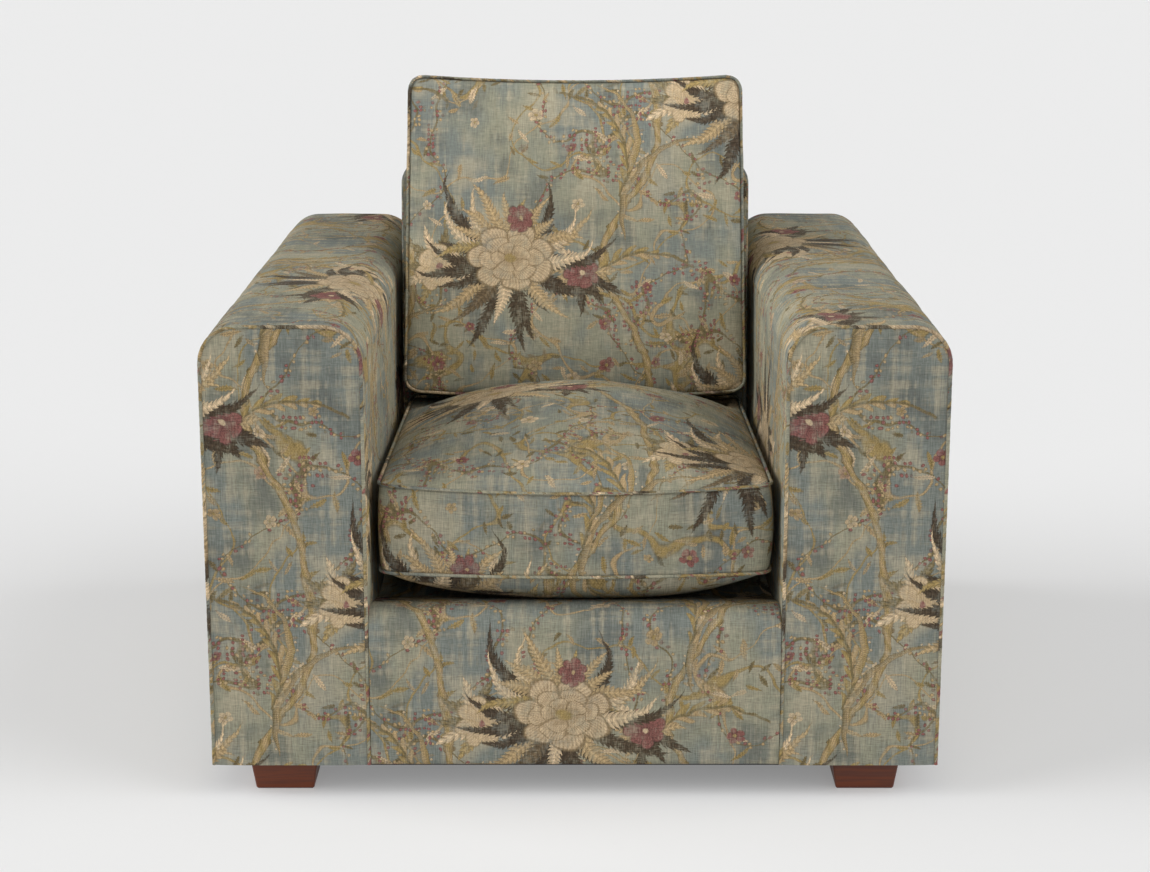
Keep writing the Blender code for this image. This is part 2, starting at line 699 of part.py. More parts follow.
def point_normals(points, faces):
    """Outward normals at the points, for faces that all turn the same way."""
    corners = points[np.array(faces)]
    areas = np.cross(corners[:, 1] - corners[:, 0], corners[:, 2] - corners[:, 0])
    volume = np.sum(areas * (corners[:, 0] - points.mean(axis=0)))
    normals = np.zeros_like(points)
    for face, area in zip(faces, areas):
        normals[list(face)] += area / max(np.linalg.norm(area), 1e-12) ** 0.5
    return np.sign(volume) * normals / np.linalg.norm(normals, axis=1)[:, None]


def cushion_cover(name, points, cushion, zip_side):
    """The cover as a thin shell with a slot for the zip in its boxing, and the slot's place."""
    count = len(cushion.outline())
    pairs, fans = grid_faces((len(points) - len(CUSHION_FACES)) // count, count)
    normals = point_normals(points, flat_list(pairs, fans))
    inner = points - normals * CLOTH
    first = FACE_RINGS + ZIP_FIRST_ROW
    kept = flat_list(pairs, fans, {(first, i) for i in zip_side})
    offset = len(points)
    shell = kept + [tuple(offset + p for p in face[::-1]) for face in kept]
    here, there = 1 + first * count, 1 + (first + 1) * count
    low = [here + i for i in (*zip_side, zip_side[-1] + 1)]
    high = [there + i for i in (*zip_side, zip_side[-1] + 1)]
    rim = low + high[::-1]
    for a, b in zip(rim, rim[1:] + rim[:1]):
        shell.append((a, b, offset + b, offset + a))
    add_mesh(name, np.vstack([points, inner]), shell, PRINT_CLOTH, smooth=True)
    return normals, (low, high)


def zip_strip(name, points, normals, slot):
    """The closed zip and its tapes, filling the slot with a small gap all round."""
    low, high = slot

    def eased(ids):
        line = points[ids].copy()
        for end, toward in ((0, 1), (-1, -2)):
            step = line[toward] - line[end]
            line[end] += step / np.linalg.norm(step) * ZIP_SIDE_GAP
        return line

    first, second = eased(low), eased(high)
    across = second - first
    across *= ZIP_SIDE_GAP / np.linalg.norm(across, axis=1)[:, None]
    outer = np.vstack([first + across, second - across])
    inner = outer - np.vstack([normals[low], normals[high]]) * CLOTH
    count = len(low)
    strip = [(i, i + 1, count + i + 1, count + i) for i in range(count - 1)]
    rim = [*range(count), *range(2 * count - 1, count - 1, -1)]
    both = 2 * count
    faces = strip + [tuple(both + p for p in f[::-1]) for f in strip]
    faces += [(a, b, both + b, both + a) for a, b in zip(rim, rim[1:] + rim[:1])]
    add_mesh(name, np.vstack([outer, inner]), faces, TAPE)


def cushion_filling(name, points, normals, cushion):
    """The inner pad, a little inside the cover."""
    count = len(cushion.outline())
    pairs, fans = grid_faces((len(points) - len(CUSHION_FACES)) // count, count)
    inside = points - normals * (CLOTH + FILLING_GAP)
    add_mesh(name, inside, flat_list(pairs, fans), WADDING, smooth=True)


def side_points(side):
    """Which of the outline's points begin a stretch of one side, by its name."""
    start = CUSHION_SIDES.index(side) * (SIDE_POINTS + CORNER_POINTS)
    return list(range(start, start + SIDE_POINTS - 2))


def loose_cushion(name, cushion, place, through, near, far, zip_side):
    points = cushion.points(place)
    normals, slot = cushion_cover(f"{name}_cover", points, cushion, side_points(zip_side))
    cushion_filling(f"{name}_filling", points, normals, cushion)
    zip_strip(f"{name}_zip", points, normals, slot)
    last_seam = FACE_RINGS + len(BOXING_ROWS)
    for label, ring in ((near, FACE_RINGS - 1), (far, last_seam)):
        path = cushion.pipe_path(points, ring, through)
        tube(f"{name}_{label}_piping", path, PIPE_RADIUS, through, PRINT_CLOTH, closed=True)


def seat_cushion():
    """The seat cushion's shape and the height of its middle plane, and its middle from front to back."""
    start = FRONT + SEAT_SETBACK
    end = BACK_FOOT - SEAT_REAR_CLEARANCE
    half_width = ARM_INNER - SEAT_SIDE_CLEARANCE
    half_length = (end - start) / 2

    def bow(x, y, u, v):
        near = max(-v, 0.0)
        y -= SEAT_FRONT_BOW * (1 - u * u) * near**3
        x *= 1 - SEAT_TAPER * (v + 1) / 2
        x += SEAT_SIDE_BOW * u * (1 - v * v)
        return x, y

    def press(v, face):
        """The share of its crown that the upper side keeps: little under the back cushion."""
        share = (v - SEAT_PRESS_START) / (SEAT_PRESS_END - SEAT_PRESS_START)
        share = min(max(share, 0.0), 1.0)
        return 1.0 - (1 - face) * SEAT_PRESS * share**2 * (3 - 2 * share)

    crowns = (SEAT_CROWN, SEAT_TOP_FALL, SEAT_TOP_FULLNESS), (SEAT_BELLY, FACE_FALL, FACE_FULLNESS)
    dips = SEAT_SEAM_DIP, SEAT_BOTTOM_DIP
    shape = Cushion(half_width, half_length, SEAT_BOXING, crowns, dips, SEAT_CORNER, SEAT_BULGE, bow, press)
    return shape, DECK_HEIGHT + SEAT_LIFT + SEAT_BOXING / 2, (start + end) / 2


def seat_drop(v):
    """How far the seat cushion's upper side sinks towards its rear, under the back cushion."""
    return SEAT_REAR_DROP * ((v + 1) / 2) ** 2


def seat_top_height(x, y):
    """The height of the seat cushion's upper side over a point of the plan, its piping included."""
    shape, level, middle = seat_cushion()
    v = min(max((y - middle) / shape.half_length, -1.0), 1.0)
    half = shape.half_width * (1 - SEAT_TAPER * (v + 1) / 2) + SEAT_SIDE_BOW * (1 - v * v)
    u = min(max(x / half, -1.0), 1.0)
    at_rim = max(abs(u), abs(v)) > RIM_START
    return level + shape.face_height(u, v, 0) - seat_drop(v) + (PIPE_RISE if at_rim else 0.0)


def loose_seat_cushion():
    shape, level, middle = seat_cushion()

    def place(x, y, z):
        """Its underside is flat where it lies on the deck and the roll."""
        share = min(max(0.5 + z / SEAT_BOXING, 0.0), 1.0)
        drop = share * seat_drop(min(max(y / shape.half_length, -1.0), 1.0))
        return x, y + middle, max(z + level - drop, deck_height(y + middle) + GAP)

    loose_cushion("seat_cushion", shape, place, (0, 0, 1), "top", "bottom", "far")


def loose_back_cushion():
    """It leans on the fixed back and is pushed up where it stands on the seat cushion's crown."""
    lean = BACK_CUSHION_RECLINE
    half_length = BACK_CUSHION_HEIGHT / 2
    thickness = BACK_CUSHION_BOXING / 2 + BACK_CUSHION_CROWN
    upward = np.array((0, math.sin(lean), math.cos(lean)))
    forward = np.array((0, -math.cos(lean), math.sin(lean)))
    foot_y = inside_back(BACK_CUSHION_BOTTOM) - BACK_CUSHION_REST_CLEARANCE - thickness / math.cos(lean)
    foot = np.array((0, foot_y, BACK_CUSHION_BOTTOM))
    rest = 2 * PIPE_RADIUS + PIPE_SEAM_GAP + GAP

    def bow(x, y, u, v):
        """It narrows a little towards its top edge, which sags in the middle."""
        sag = BACK_CUSHION_TOP_SAG * (1 - u * u) * max(v, 0.0) ** 3
        return x * (1 - BACK_CUSHION_TAPER * (v + 1) / 2), y - sag

    crowns = ((BACK_CUSHION_CROWN, FACE_FALL, FACE_FULLNESS),) * 2
    dips = (BACK_CUSHION_DIP,) * 2
    shape = Cushion(
        ARM_INNER - BACK_CUSHION_SIDE_CLEARANCE,
        half_length,
        BACK_CUSHION_BOXING,
        crowns,
        dips,
        BACK_CUSHION_CORNER,
        BACK_CUSHION_BULGE,
        bow,
    )

    def push(x):
        """How far the seat cushion pushes the lower edge up, at a distance from the middle."""
        spots = [foot + forward * share * BACK_CUSHION_BOXING / 2 for share in (-1, -0.5, 0, 0.5, 1)]
        return max(0.0, *(seat_top_height(x, spot[1]) + rest - spot[2] for spot in spots))

    def place(x, y, z):
        """It is pushed up at its foot and flattened against the fixed back."""
        height = y + half_length
        point = foot + np.array((x, 0, 0)) + upward * height + forward * z
        point[2] += push(x) * max(1 - height / BACK_CUSHION_SETTLE, 0.0) ** 2
        wall = inside_back(point[2]) - BACK_CUSHION_REST_CLEARANCE
        point[1] = min(point[1], wall)
        return point

    loose_cushion("back_cushion", shape, place, forward, "front", "rear", "near")


def main():
    clear_scene()
    for label, side in SIDES.items():
        bolt_holes(arm_boards(label, side), side)
        bolt_holes(arm_padding(label, side), side)
        bolt_holes(arm_cover(label, side), side)
        arm_front(label, side)
        arm_bolts(label, side)
        for end, centre in zip(("front", "rear"), foot_centres(side)):
            foot(f"{label}_{end}_foot", centre)
    dust_cover()
    seat_frame()
    seat_webs()
    seat_upholstery()
    fixed_back()
    outside_back_panel()
    loose_seat_cushion()
    loose_back_cushion()


main()
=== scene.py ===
"""The looks of a box-arm armchair: printed linen covers, piped cushions, stained feet and a studio setting.

Metres, +Z up, +Y to the chair's back. Left and right are as seen from the front.
"""

import json
import math

import bmesh
import bpy
import numpy as np
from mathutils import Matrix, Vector


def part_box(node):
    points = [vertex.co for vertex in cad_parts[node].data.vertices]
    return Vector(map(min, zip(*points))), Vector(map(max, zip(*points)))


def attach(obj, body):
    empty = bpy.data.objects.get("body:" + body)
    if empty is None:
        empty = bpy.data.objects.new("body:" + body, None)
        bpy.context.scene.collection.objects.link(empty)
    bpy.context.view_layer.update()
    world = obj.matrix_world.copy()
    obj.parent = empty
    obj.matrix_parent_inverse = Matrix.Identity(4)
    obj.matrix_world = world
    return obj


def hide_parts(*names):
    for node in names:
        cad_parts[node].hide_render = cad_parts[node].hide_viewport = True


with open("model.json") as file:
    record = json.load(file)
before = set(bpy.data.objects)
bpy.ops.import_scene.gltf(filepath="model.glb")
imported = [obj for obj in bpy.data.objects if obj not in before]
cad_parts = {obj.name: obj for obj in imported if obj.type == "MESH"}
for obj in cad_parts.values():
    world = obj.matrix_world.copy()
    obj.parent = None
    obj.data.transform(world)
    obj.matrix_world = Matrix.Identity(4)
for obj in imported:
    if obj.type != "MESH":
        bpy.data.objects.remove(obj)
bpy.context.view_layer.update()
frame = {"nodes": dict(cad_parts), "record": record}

# The photograph's camera, which was solved from the arms' straight edges
PHOTO_WIDTH = 1150
CAMERA_FOCUS = 2346.2
CAMERA_DISTANCE = 2.922
CAMERA_HEIGHT = 1.1945
CAMERA_PITCH = math.radians(13.465)
SENSOR = 36.0

# Studio
WHITE = (1.0, 1.0, 1.0, 1.0)
PALE = (0.84, 0.84, 0.84, 1.0)
FLOOR_COLOUR = (0.775, 0.775, 0.775, 1.0)
FLOOR_SIZE = 120.0
FLOOR_SHOWN = 0.91
FLOOR_SHOWN_SHARE = 0.25
SKY_STRENGTH = 0.16
SUNS = {
    "soft_key": (0.7, math.radians(55), (0.0, 0.66, -0.75)),
    "low_front": (0.5, math.radians(45), (0.0, 0.97, -0.22)),
    "left_side": (2.6, math.radians(50), (0.89, 0.10, -0.44)),
    "right_side": (1.9, math.radians(55), (-0.82, 0.22, -0.53)),
}

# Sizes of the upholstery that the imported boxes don't give
ARM_CORNER = 0.048
ARM_PIPE_RADIUS = 0.0025
PIPE_PROUD = 0.0008
BORDER_CORNER = 0.024
ROLL_FLAT_DEPTH = 0.026
ROLL_END_DEPTH = 0.18
BACK_CORNER = 0.034
BACK_SIDE_EDGE = 0.003
BACK_SLOPE = math.atan2(0.074, 0.53)
HEM = 0.02
PIPE_RADIUS = 0.0022
PIPE_AWAY = 0.0027
PIPE_SUNK = PIPE_AWAY / 2
PIPE_SLANT = math.radians(28)
GAP = 0.0003
PANEL_RECESS = 0.001

# The two cushions, as they are in the model
SEAT_SETBACK = 0.038
SEAT_REAR_CLEARANCE = 0.016
SEAT_BOXING = 0.118
SEAT_LIFT = 0.07
SEAT_CROWN = 0.0745
SEAT_TOP_FALL = 2.1
SEAT_TOP_FULLNESS = 0.8
SEAT_BELLY = 0.08
SEAT_CORNER = 0.015
SEAT_SEAM_DIP = 0.009
SEAT_BOTTOM_DIP = -0.003
SEAT_REAR_DROP = 0.013
SEAT_PRESS = 0.65
SEAT_PRESS_START = 0.5
SEAT_PRESS_END = 0.76
SEAT_FRONT_BOW = 0.012
SEAT_SIDE_BOW = 0.002
SEAT_TAPER = 0.025
SEAT_HALF_WIDTH = 0.2565
BACK_CUSHION_HALF_WIDTH = 0.2545
BACK_CUSHION_TAPER = 0.024
BACK_CUSHION_HEIGHT = 0.4955
BACK_CUSHION_BOXING = 0.105
BACK_CUSHION_CROWN = 0.034
BACK_CUSHION_CORNER = 0.022
BACK_CUSHION_DIP = 0.004
BACK_CUSHION_TOP_SAG = 0.009
BACK_CUSHION_RECLINE = math.radians(13.0)
BACK_CUSHION_BOTTOM = 0.404
BACK_CUSHION_SETTLE = 0.2
BACK_CUSHION_REST_CLEARANCE = 0.0012
SEAT_BULGE = 0.004
BACK_CUSHION_BULGE = 0.006
FACE_FALL = 2.6
FACE_FULLNESS = 0.55

# The arm cloth's fullness, its gathers behind the piping and its pull at both ends
ARM_SIDE_SWELL = 0.0016
ARM_TOP_SWELL = 0.0022
ARM_GATHER_PERIOD = 0.021
ARM_GATHER_HEIGHT = 0.00045
ARM_GATHER_REACH = 0.016
ARM_SEAM_PULL = 0.0018
ARM_REAR_PULL = 0.0008

# Puckers beside the cushions' seams, and the soft unevenness of their faces
PUCKER_HEIGHT = 0.0011
PUCKER_REACH = 0.022
STITCH_REACH = 0.004
PUCKER_FADE = 0.12
STITCH_HOLD = 0.02
FACE_WAVE_HEIGHT = 0.0022
FACE_WAVE_LENGTH = 0.34
FACE_WAVE_EDGE = 0.05

# Where each panel lies on the print, in metres
PLACE_ON_PRINT = {
    "arm_front": (0.0, -0.02),
    "border": (0.20, 0.17),
    "seat_top": (0.30, 0.22),
    "seat_bottom": (0.0, 0.0),
    "seat_boxing": (0.34, -0.07),
    "back_front": (-0.09, 0.04),
    "back_rear": (0.1, 0.2),
    "back_boxing": (0.0, 0.25),
}

# How much lighter the cloth's colour is painted where the lamps leave it too dark: painted light on the arms'
# insides, the seat cushion's top and the back cushion's front
PAINTED_LIGHT_SHARE = {"arm_inside": 0.22, "seat_cushion": 0.13, "back_cushion": 0.20}

# How fine the meshes are, and a length that tells two places apart
TINY = 0.0001
SPACING = 0.007
CUSHION_CELLS = 60
BOXING_CELLS = 12
PIPE_SIDES = 10


def linear(code):
    """A colour written as six hex digits, as the linear values that a shader takes."""
    values = [int(code[i : i + 2], 16) / 255 for i in (0, 2, 4)]
    return (*(((v + 0.055) / 1.055) ** 2.4 if v > 0.04045 else v / 12.92 for v in values), 1.0)


class Wire:
    """A number carried by a socket. Arithmetic on it adds Math nodes."""

    def __init__(self, graph, socket):
        self.graph = graph
        self.socket = socket

    def math(self, operation, *others):
        return self.graph.math(operation, self, *others)

    def __add__(self, other):
        return self.math("ADD", other)

    def __sub__(self, other):
        return self.math("SUBTRACT", other)

    def __rsub__(self, other):
        return self.graph.math("SUBTRACT", other, self)

    def __mul__(self, other):
        return self.math("MULTIPLY", other)

    def __truediv__(self, other):
        return self.math("DIVIDE", other)

    def __pow__(self, other):
        return self.math("POWER", other)

    def __abs__(self):
        return self.math("ABSOLUTE")

    __radd__ = __add__
    __rmul__ = __mul__


class Graph:
    """A material, or a world, under construction."""

    def __init__(self, name, kind="materials"):
        self.owner = getattr(bpy.data, kind).new(name)
        self.owner.use_nodes = True
        self.tree = self.owner.node_tree
        self.tree.nodes.clear()

    def node(self, kind, settings=None, inputs=None):
        """Any node: its settings first, then its sockets' values or links."""
        made = self.tree.nodes.new("ShaderNode" + kind)
        for key, value in (settings or {}).items():
            setattr(made, key, value)
        for key, value in (inputs or {}).items():
            if isinstance(value, Wire):
                self.tree.links.new(value.socket, made.inputs[key])
            else:
                made.inputs[key].default_value = value
        return made

    def wire(self, node, output=0):
        return Wire(self, node.outputs[output])

    def math(self, operation, *values):
        return self.wire(self.node("Math", {"operation": operation}, dict(enumerate(values))))

    def floor(self, value):
        return self.math("FLOOR", value)

    def frac(self, value):
        return self.math("FRACT", value)

    def sin(self, value):
        return self.math("SINE", value)

    def most(self, first, second):
        return self.math("MAXIMUM", first, second)

    def least(self, first, second):
        return self.math("MINIMUM", first, second)

    def distance(self, x, y):
        return self.math("SQRT", x * x + y * y)

    def step(self, value, low, high):
        """0 at low, 1 at high and smooth between. Low may be the larger."""
        settings = {"interpolation_type": "SMOOTHSTEP"}
        return self.wire(self.node("MapRange", settings, {"Value": value, "From Min": low, "From Max": high}))

    def vector(self, x, y, z=0.0):
        return self.wire(self.node("CombineXYZ", None, {0: x, 1: y, 2: z}))

    def split(self, vector):
        made = self.node("SeparateXYZ", None, {0: vector})
        return [self.wire(made, i) for i in range(3)]

    def vector_math(self, operation, *values):
        return self.wire(self.node("VectorMath", {"operation": operation}, dict(enumerate(values))))

    def noise(self, vector, scale, detail=2.0, roughness=0.5, output=0, dimensions="2D"):
        inputs = {"Vector": vector, "Scale": scale, "Detail": detail, "Roughness": roughness}
        return self.wire(self.node("TexNoise", {"noise_dimensions": dimensions}, inputs), output)

    def dice(self, x, y=0.0, seed=0.0, output=0):
        """A random number for each whole x and y."""
        made = self.node("TexWhiteNoise", {"noise_dimensions": "3D"}, {"Vector": self.vector(x, y, seed)})
        return self.wire(made, output)

    def mix(self, factor, first, second):
        return self.wire(self.node("Mix", {"data_type": "RGBA"}, {0: factor, 6: first, 7: second}), 2)

    def scale(self, colour, factor):
        """A colour made lighter or darker by a factor."""
        made = self.node("VectorMath", {"operation": "SCALE"}, {0: colour, "Scale": factor})
        return self.wire(made)

    def finish(self, colour, roughness, height, depth, strength, **shader):
        """Ends the material in its shader; the keywords are sockets that are the same all over."""
        bump = self.node("Bump", None, {"Height": height, "Strength": strength, "Distance": depth})
        inputs = {"Base Color": colour, "Roughness": roughness, "Normal": self.wire(bump)}
        inputs.update({key.replace("_", " "): value for key, value in shader.items()})
        surface = self.wire(self.node("BsdfPrincipled", None, inputs))
        self.node("OutputMaterial", None, {"Surface": surface})
        return self.owner


# Colours of the print
GROUND_BLUE = linear("717670")
GROUND_GREEN = linear("858472")
GROUND_HAZE = linear("9b947f")
GROUND_DARK = linear("5f625d")
CREAM = linear("bba585")
TAN = linear("a08964")
OCHRE = linear("8f7a4c")
OLIVE = linear("6d5f40")
BROWN = linear("3e3124")
PETAL_SHADE = linear("6f5a3c")
ROSE = linear("80504b")
ROSE_DARK = linear("523231")

# The print's repeat, and the drawn line's unevenness, in metres
REPEAT_WIDTH = 0.37
REPEAT_HEIGHT = 0.50
WOBBLE = 0.013
FRAY = 0.0024
VINE_SCALE = 6.5
BLOSSOM_PETALS = 5
BUD_SPACING = 0.0105
BUD_RADIUS = 0.0021
HATCH_RATE = 1900.0
HATCH_INK = 0.18
EDGE_INK = 1.1
GRAIN_STRETCH = (3.0, 60.0, 60.0)
PORE_STRETCH = (2.0, 9.0, 9.0)
WAVE_COUNT = 6
TAU = 2 * math.pi


class Motif:
    """A shape of the print: how far it covers the ground, and its colour."""

    def __init__(self, cover, colour):
        self.cover = cover
        self.colour = colour


def repeat(g, u, v, shift_u, shift_v):
    """A place's coordinates from the middle of its half-drop repeat."""
    across = (u + shift_u) / REPEAT_WIDTH
    column = g.floor(across)
    x = (across - column - 0.5) * REPEAT_WIDTH
    up = (v + shift_v) / REPEAT_HEIGHT + g.math("FLOORED_MODULO", column, 2.0) * 0.5
    y = (up - g.floor(up) - 0.5) * REPEAT_HEIGHT
    return x, y


def turned(x, y, centre, degrees):
    """Coordinates from a centre, turned so that the motif itself turns counter-clockwise."""
    c, s = math.cos(math.radians(degrees)), math.sin(math.radians(degrees))
    dx, dy = x - centre[0], y - centre[1]
    return dx * c + dy * s, dy * c - dx * s


def flower_head(g, x, y, size, tones, edge, hatch, rounds=2):
    """A full flower: rounds of hatched petals with pale rims and dark gaps."""
    radius = g.distance(x, y) / size
    angle = g.math("ARCTAN2", y, x)
    ripples = g.sin(radius * 34.0 + angle * 5.0) * 0.1
    veins = g.sin(angle * hatch + radius * 9.0) * 0.24 + ripples + 0.82
    shade = 0.0
    cover = None
    for petals, reach, turn in ((7, 1.0, 0.3), (6, 0.72, 1.2), (5, 0.46, 0.1))[:rounds]:
        lobe = abs(g.sin(angle * (petals / 2) + turn))
        rim = (lobe**0.5 * 0.3 + 0.7) * reach
        inside = g.step(radius, rim + edge, rim - edge)
        depth = radius / rim
        tone = (depth * depth * 0.6 + 0.4) * (g.step(lobe, 0.02, 0.35) * 0.75 + 0.25)
        tone = tone * (1 - g.step(abs(depth - 0.97), 0.06, 0.0) * 0.8)
        shade = (tone - shade) * inside + shade
        cover = inside if cover is None else g.most(cover, inside)
    dark, light, heart = tones
    colour = g.mix(g.least(shade * veins * 1.25, 1.0), dark, light)
    return Motif(cover, g.mix(g.step(radius, 0.17, 0.1), colour, heart))


def leaf_fan(g, x, y, count, reach, width, sweep, tones, seed, bend=0.0, teeth=9.0):
    """Feathery leaves that fan out upwards from a point; each has its own length and tone."""
    radius = g.distance(x, y)
    angle = g.math("ARCTAN2", x, y)
    along_all = radius / reach
    leaf = (angle + along_all * along_all * bend * angle) * (count / sweep) + count / 2
    number = g.floor(leaf)
    lot = g.dice(number, 0.0, seed)
    lot_too = g.dice(number, 0.0, seed + 9.5)
    along = along_all / (lot * 0.36 + 0.68)
    across = abs((leaf - number - 0.5) * (sweep / count) * radius)
    body = g.sin(g.least(along, 1.0) ** 0.75 * math.pi) * width
    comb = g.frac(along * teeth - across / width * 1.3)
    cover = g.step(body * (comb * 0.45 + 0.55) - across, -0.0004, 0.0012)
    within = g.step(leaf, -0.01, 0.01) * g.step(leaf, count + 0.01, count - 0.01)
    rib = g.step(across, 0.0018, 0.0006)
    dark, middle, light = tones
    colour = g.mix(g.step(lot_too, 0.68, 0.76), middle, light)
    colour = g.mix(g.step(lot_too, 0.38, 0.46), dark, colour)
    colour = g.scale(colour, g.step(comb, 0.05, 0.75) * 0.45 + 0.66 + rib * 0.3)
    return Motif(cover * within, colour)


def on_arc(g, x, y, centre, radius, start, sweep):
    """Distance outwards from an arc, the share walked along it, and whether that is between its ends."""
    dx, dy = x - centre[0], y - centre[1]
    turn = math.radians(start + sweep / 2)
    c, s = math.cos(turn), math.sin(turn)
    angle = g.math("ARCTAN2", dy * c - dx * s, dx * c + dy * s)
    along = angle / math.radians(sweep) + 0.5
    within = g.step(along, 0.0, 0.02) * g.step(along, 1.0, 0.98)
    return g.distance(dx, dy) - radius, along, within


def arching_spray(g, x, y, centre, radius, start, sweep, width, pairs, tones):
    """A stem on an arc with pairs of small leaves; start and sweep are in degrees."""
    out, along, within = on_arc(g, x, y, centre, radius, start, sweep)
    across = abs(out)
    taper = g.step(along, -0.25, 0.3) * g.step(along, 1.02, 0.45)
    comb = abs(g.frac(along * pairs - across / width) * 2.0 - 1.0)
    blade = taper * width * (1 - comb * comb)
    leaves = g.step(blade - across, -0.0003, 0.0012)
    stem = g.step(across, 0.0024, 0.0012)
    cover = g.most(leaves, stem) * within
    colour = g.mix(g.step(out, -0.001, 0.001), tones[0], tones[1])
    colour = g.scale(colour, (1 - comb) * 0.45 + 0.7)
    return Motif(cover, g.mix(stem, colour, tones[2]))


def arching_blade(g, x, y, centre, radius, start, sweep, width, tones):
    """A long hatched leaf on an arc, with buds along its outer edge; angles are in degrees."""
    out, along, within = on_arc(g, x, y, centre, radius, start, sweep)
    half = g.least(along * 5.0, 1.0) * (1 - along) ** 0.7 * width
    leaf = g.step(half - abs(out), -0.0003, 0.0008)
    length = abs(math.radians(sweep)) * radius
    place = along * (length / BUD_SPACING)
    to_bud = g.distance((g.frac(place) - 0.5) * BUD_SPACING, out - half - BUD_RADIUS)
    there = g.step(g.dice(g.floor(place), 0.0, radius), 0.45, 0.5)
    bud = g.step(to_bud, BUD_RADIUS, BUD_RADIUS * 0.6) * there
    lines = g.sin(along * (length * 2600.0) + out * 900.0) * 0.22
    shade = g.step(out, width * 0.9, -width * 0.9)
    colour = g.mix(shade, tones[0], tones[1])
    colour = g.scale(colour, lines + 0.95 - g.step(abs(out) / half, 0.7, 1.0) * 0.4)
    return Motif(g.most(leaf, bud) * within, g.mix(bud, colour, tones[2]))


def winding_stem(g, x, y, swing, half_width, tones):
    """A bark-lined stem that winds up through the repeat, with side shoots."""
    wave = TAU / REPEAT_HEIGHT
    line = g.sin(y * wave) * swing + g.sin(y * (2 * wave) + 1.0) * (swing * 0.22)
    offset = x - line
    across = abs(offset) / half_width
    twist = g.sin(y * 260.0 + offset * 520.0)
    bark = g.sin(offset * 2600.0 + y * 300.0 + twist) * 0.2
    shoots = g.frac(y * (13 / REPEAT_HEIGHT) - across * 0.16)
    thorn = g.step(shoots, 0.3, 0.0) * 0.5
    cover = g.step(across, thorn + 1.12, thorn + 0.95)
    colour = g.mix(twist * 0.45 + 0.5, tones[0], tones[1])
    return Motif(cover, g.scale(colour, g.most(1.05 - across * across * 0.45, 0.5) + bark))


def cells_of(g, place, cell, randomness):
    """The cloth's division into uneven cells."""
    inputs = {"Vector": place, "Scale": 1 / cell, "Randomness": randomness}
    return g.node("TexVoronoi", {"voronoi_dimensions": "2D"}, inputs)


def foliage(g, place, field, cell, band, tones, petal, teeth):
    """Small leaves or petals along the lines of a field of vines, each turned and coloured by chance."""
    made = cells_of(g, place, cell, 0.75)
    middle = g.wire(made, "Position")
    lots = g.split(g.wire(made, "Color"))
    dx, dy, _ = g.split(g.vector_math("SUBTRACT", place, middle))
    turn = lots[0] * TAU
    c, s = g.math("COSINE", turn), g.sin(turn)
    along = (dx * c + dy * s) / (cell * 0.5)
    across = abs(dy * c - dx * s) / (cell * petal)
    comb = g.frac(along * teeth + across * 0.8)
    body = (1 - along * along) * (1.0 - along * 0.3) * (comb * 0.4 + 0.6)
    near = g.step(abs(field(middle) - 0.5), band + 0.008, band)
    cover = g.step(body - across, -0.06, 0.14) * near * g.step(lots[1], 0.10, 0.12)
    colour = g.mix(g.step(lots[2], 0.62, 0.66), tones[1], tones[2])
    colour = g.mix(g.step(lots[2], 0.3, 0.34), tones[0], colour)
    rib = g.step(across, 0.2, 0.05)
    return Motif(cover, g.scale(colour, comb * 0.35 + 0.78 - rib * 0.3))


def berries(g, place, field, cell, band, tones):
    """Round berries in clusters beside a vine."""
    made = cells_of(g, place, cell, 0.6)
    distance = g.wire(made, "Distance")
    lots = g.split(g.wire(made, "Color"))
    near = g.step(abs(field(g.wire(made, "Position")) - 0.5), band + 0.004, band)
    cover = g.step(distance, 0.40, 0.30) * near * g.step(lots[1], 0.35, 0.37)
    colour = g.mix(g.step(lots[0], 0.45, 0.5), tones[0], tones[1])
    return Motif(cover, g.scale(colour, g.step(distance, 0.38, 0.1) * 0.6 + 0.6))


def scattered_blossoms(g, u, v, cell, size, share, tones, seed):
    """Small open flowers, each in its own cell of the cloth, and some cells empty."""
    column, row = g.floor(u / cell), g.floor(v / cell)
    lots = g.split(g.dice(column, row, seed, output=1))
    x = u - (column + 0.5 + (lots[0] - 0.5) * 0.5) * cell
    y = v - (row + 0.5 + (lots[1] - 0.5) * 0.5) * cell
    radius = g.distance(x, y) / (lots[2] * 0.5 + 0.6) / size
    angle = g.math("ARCTAN2", y, x)
    lobe = abs(g.sin(angle * (BLOSSOM_PETALS / 2) + lots[0] * TAU))
    rim = lobe**0.6 * 0.42 + 0.58
    present = g.step(g.dice(column, row, seed + 4.2), share + 0.01, share - 0.01)
    cover = g.step(radius, rim + 0.07, rim - 0.07) * present
    tone = radius / rim * 0.5 + 0.5
    colour = g.mix(g.step(lots[0], 0.6, 0.7), tones[1], tones[2])
    colour = g.mix(g.step(lots[1], 0.4, 0.5), tones[0], colour)
    colour = g.scale(colour, tone * (g.step(lobe, 0.05, 0.5) * 0.55 + 0.55))
    return Motif(cover, g.mix(g.step(radius, 0.26, 0.18), colour, tones[3]))


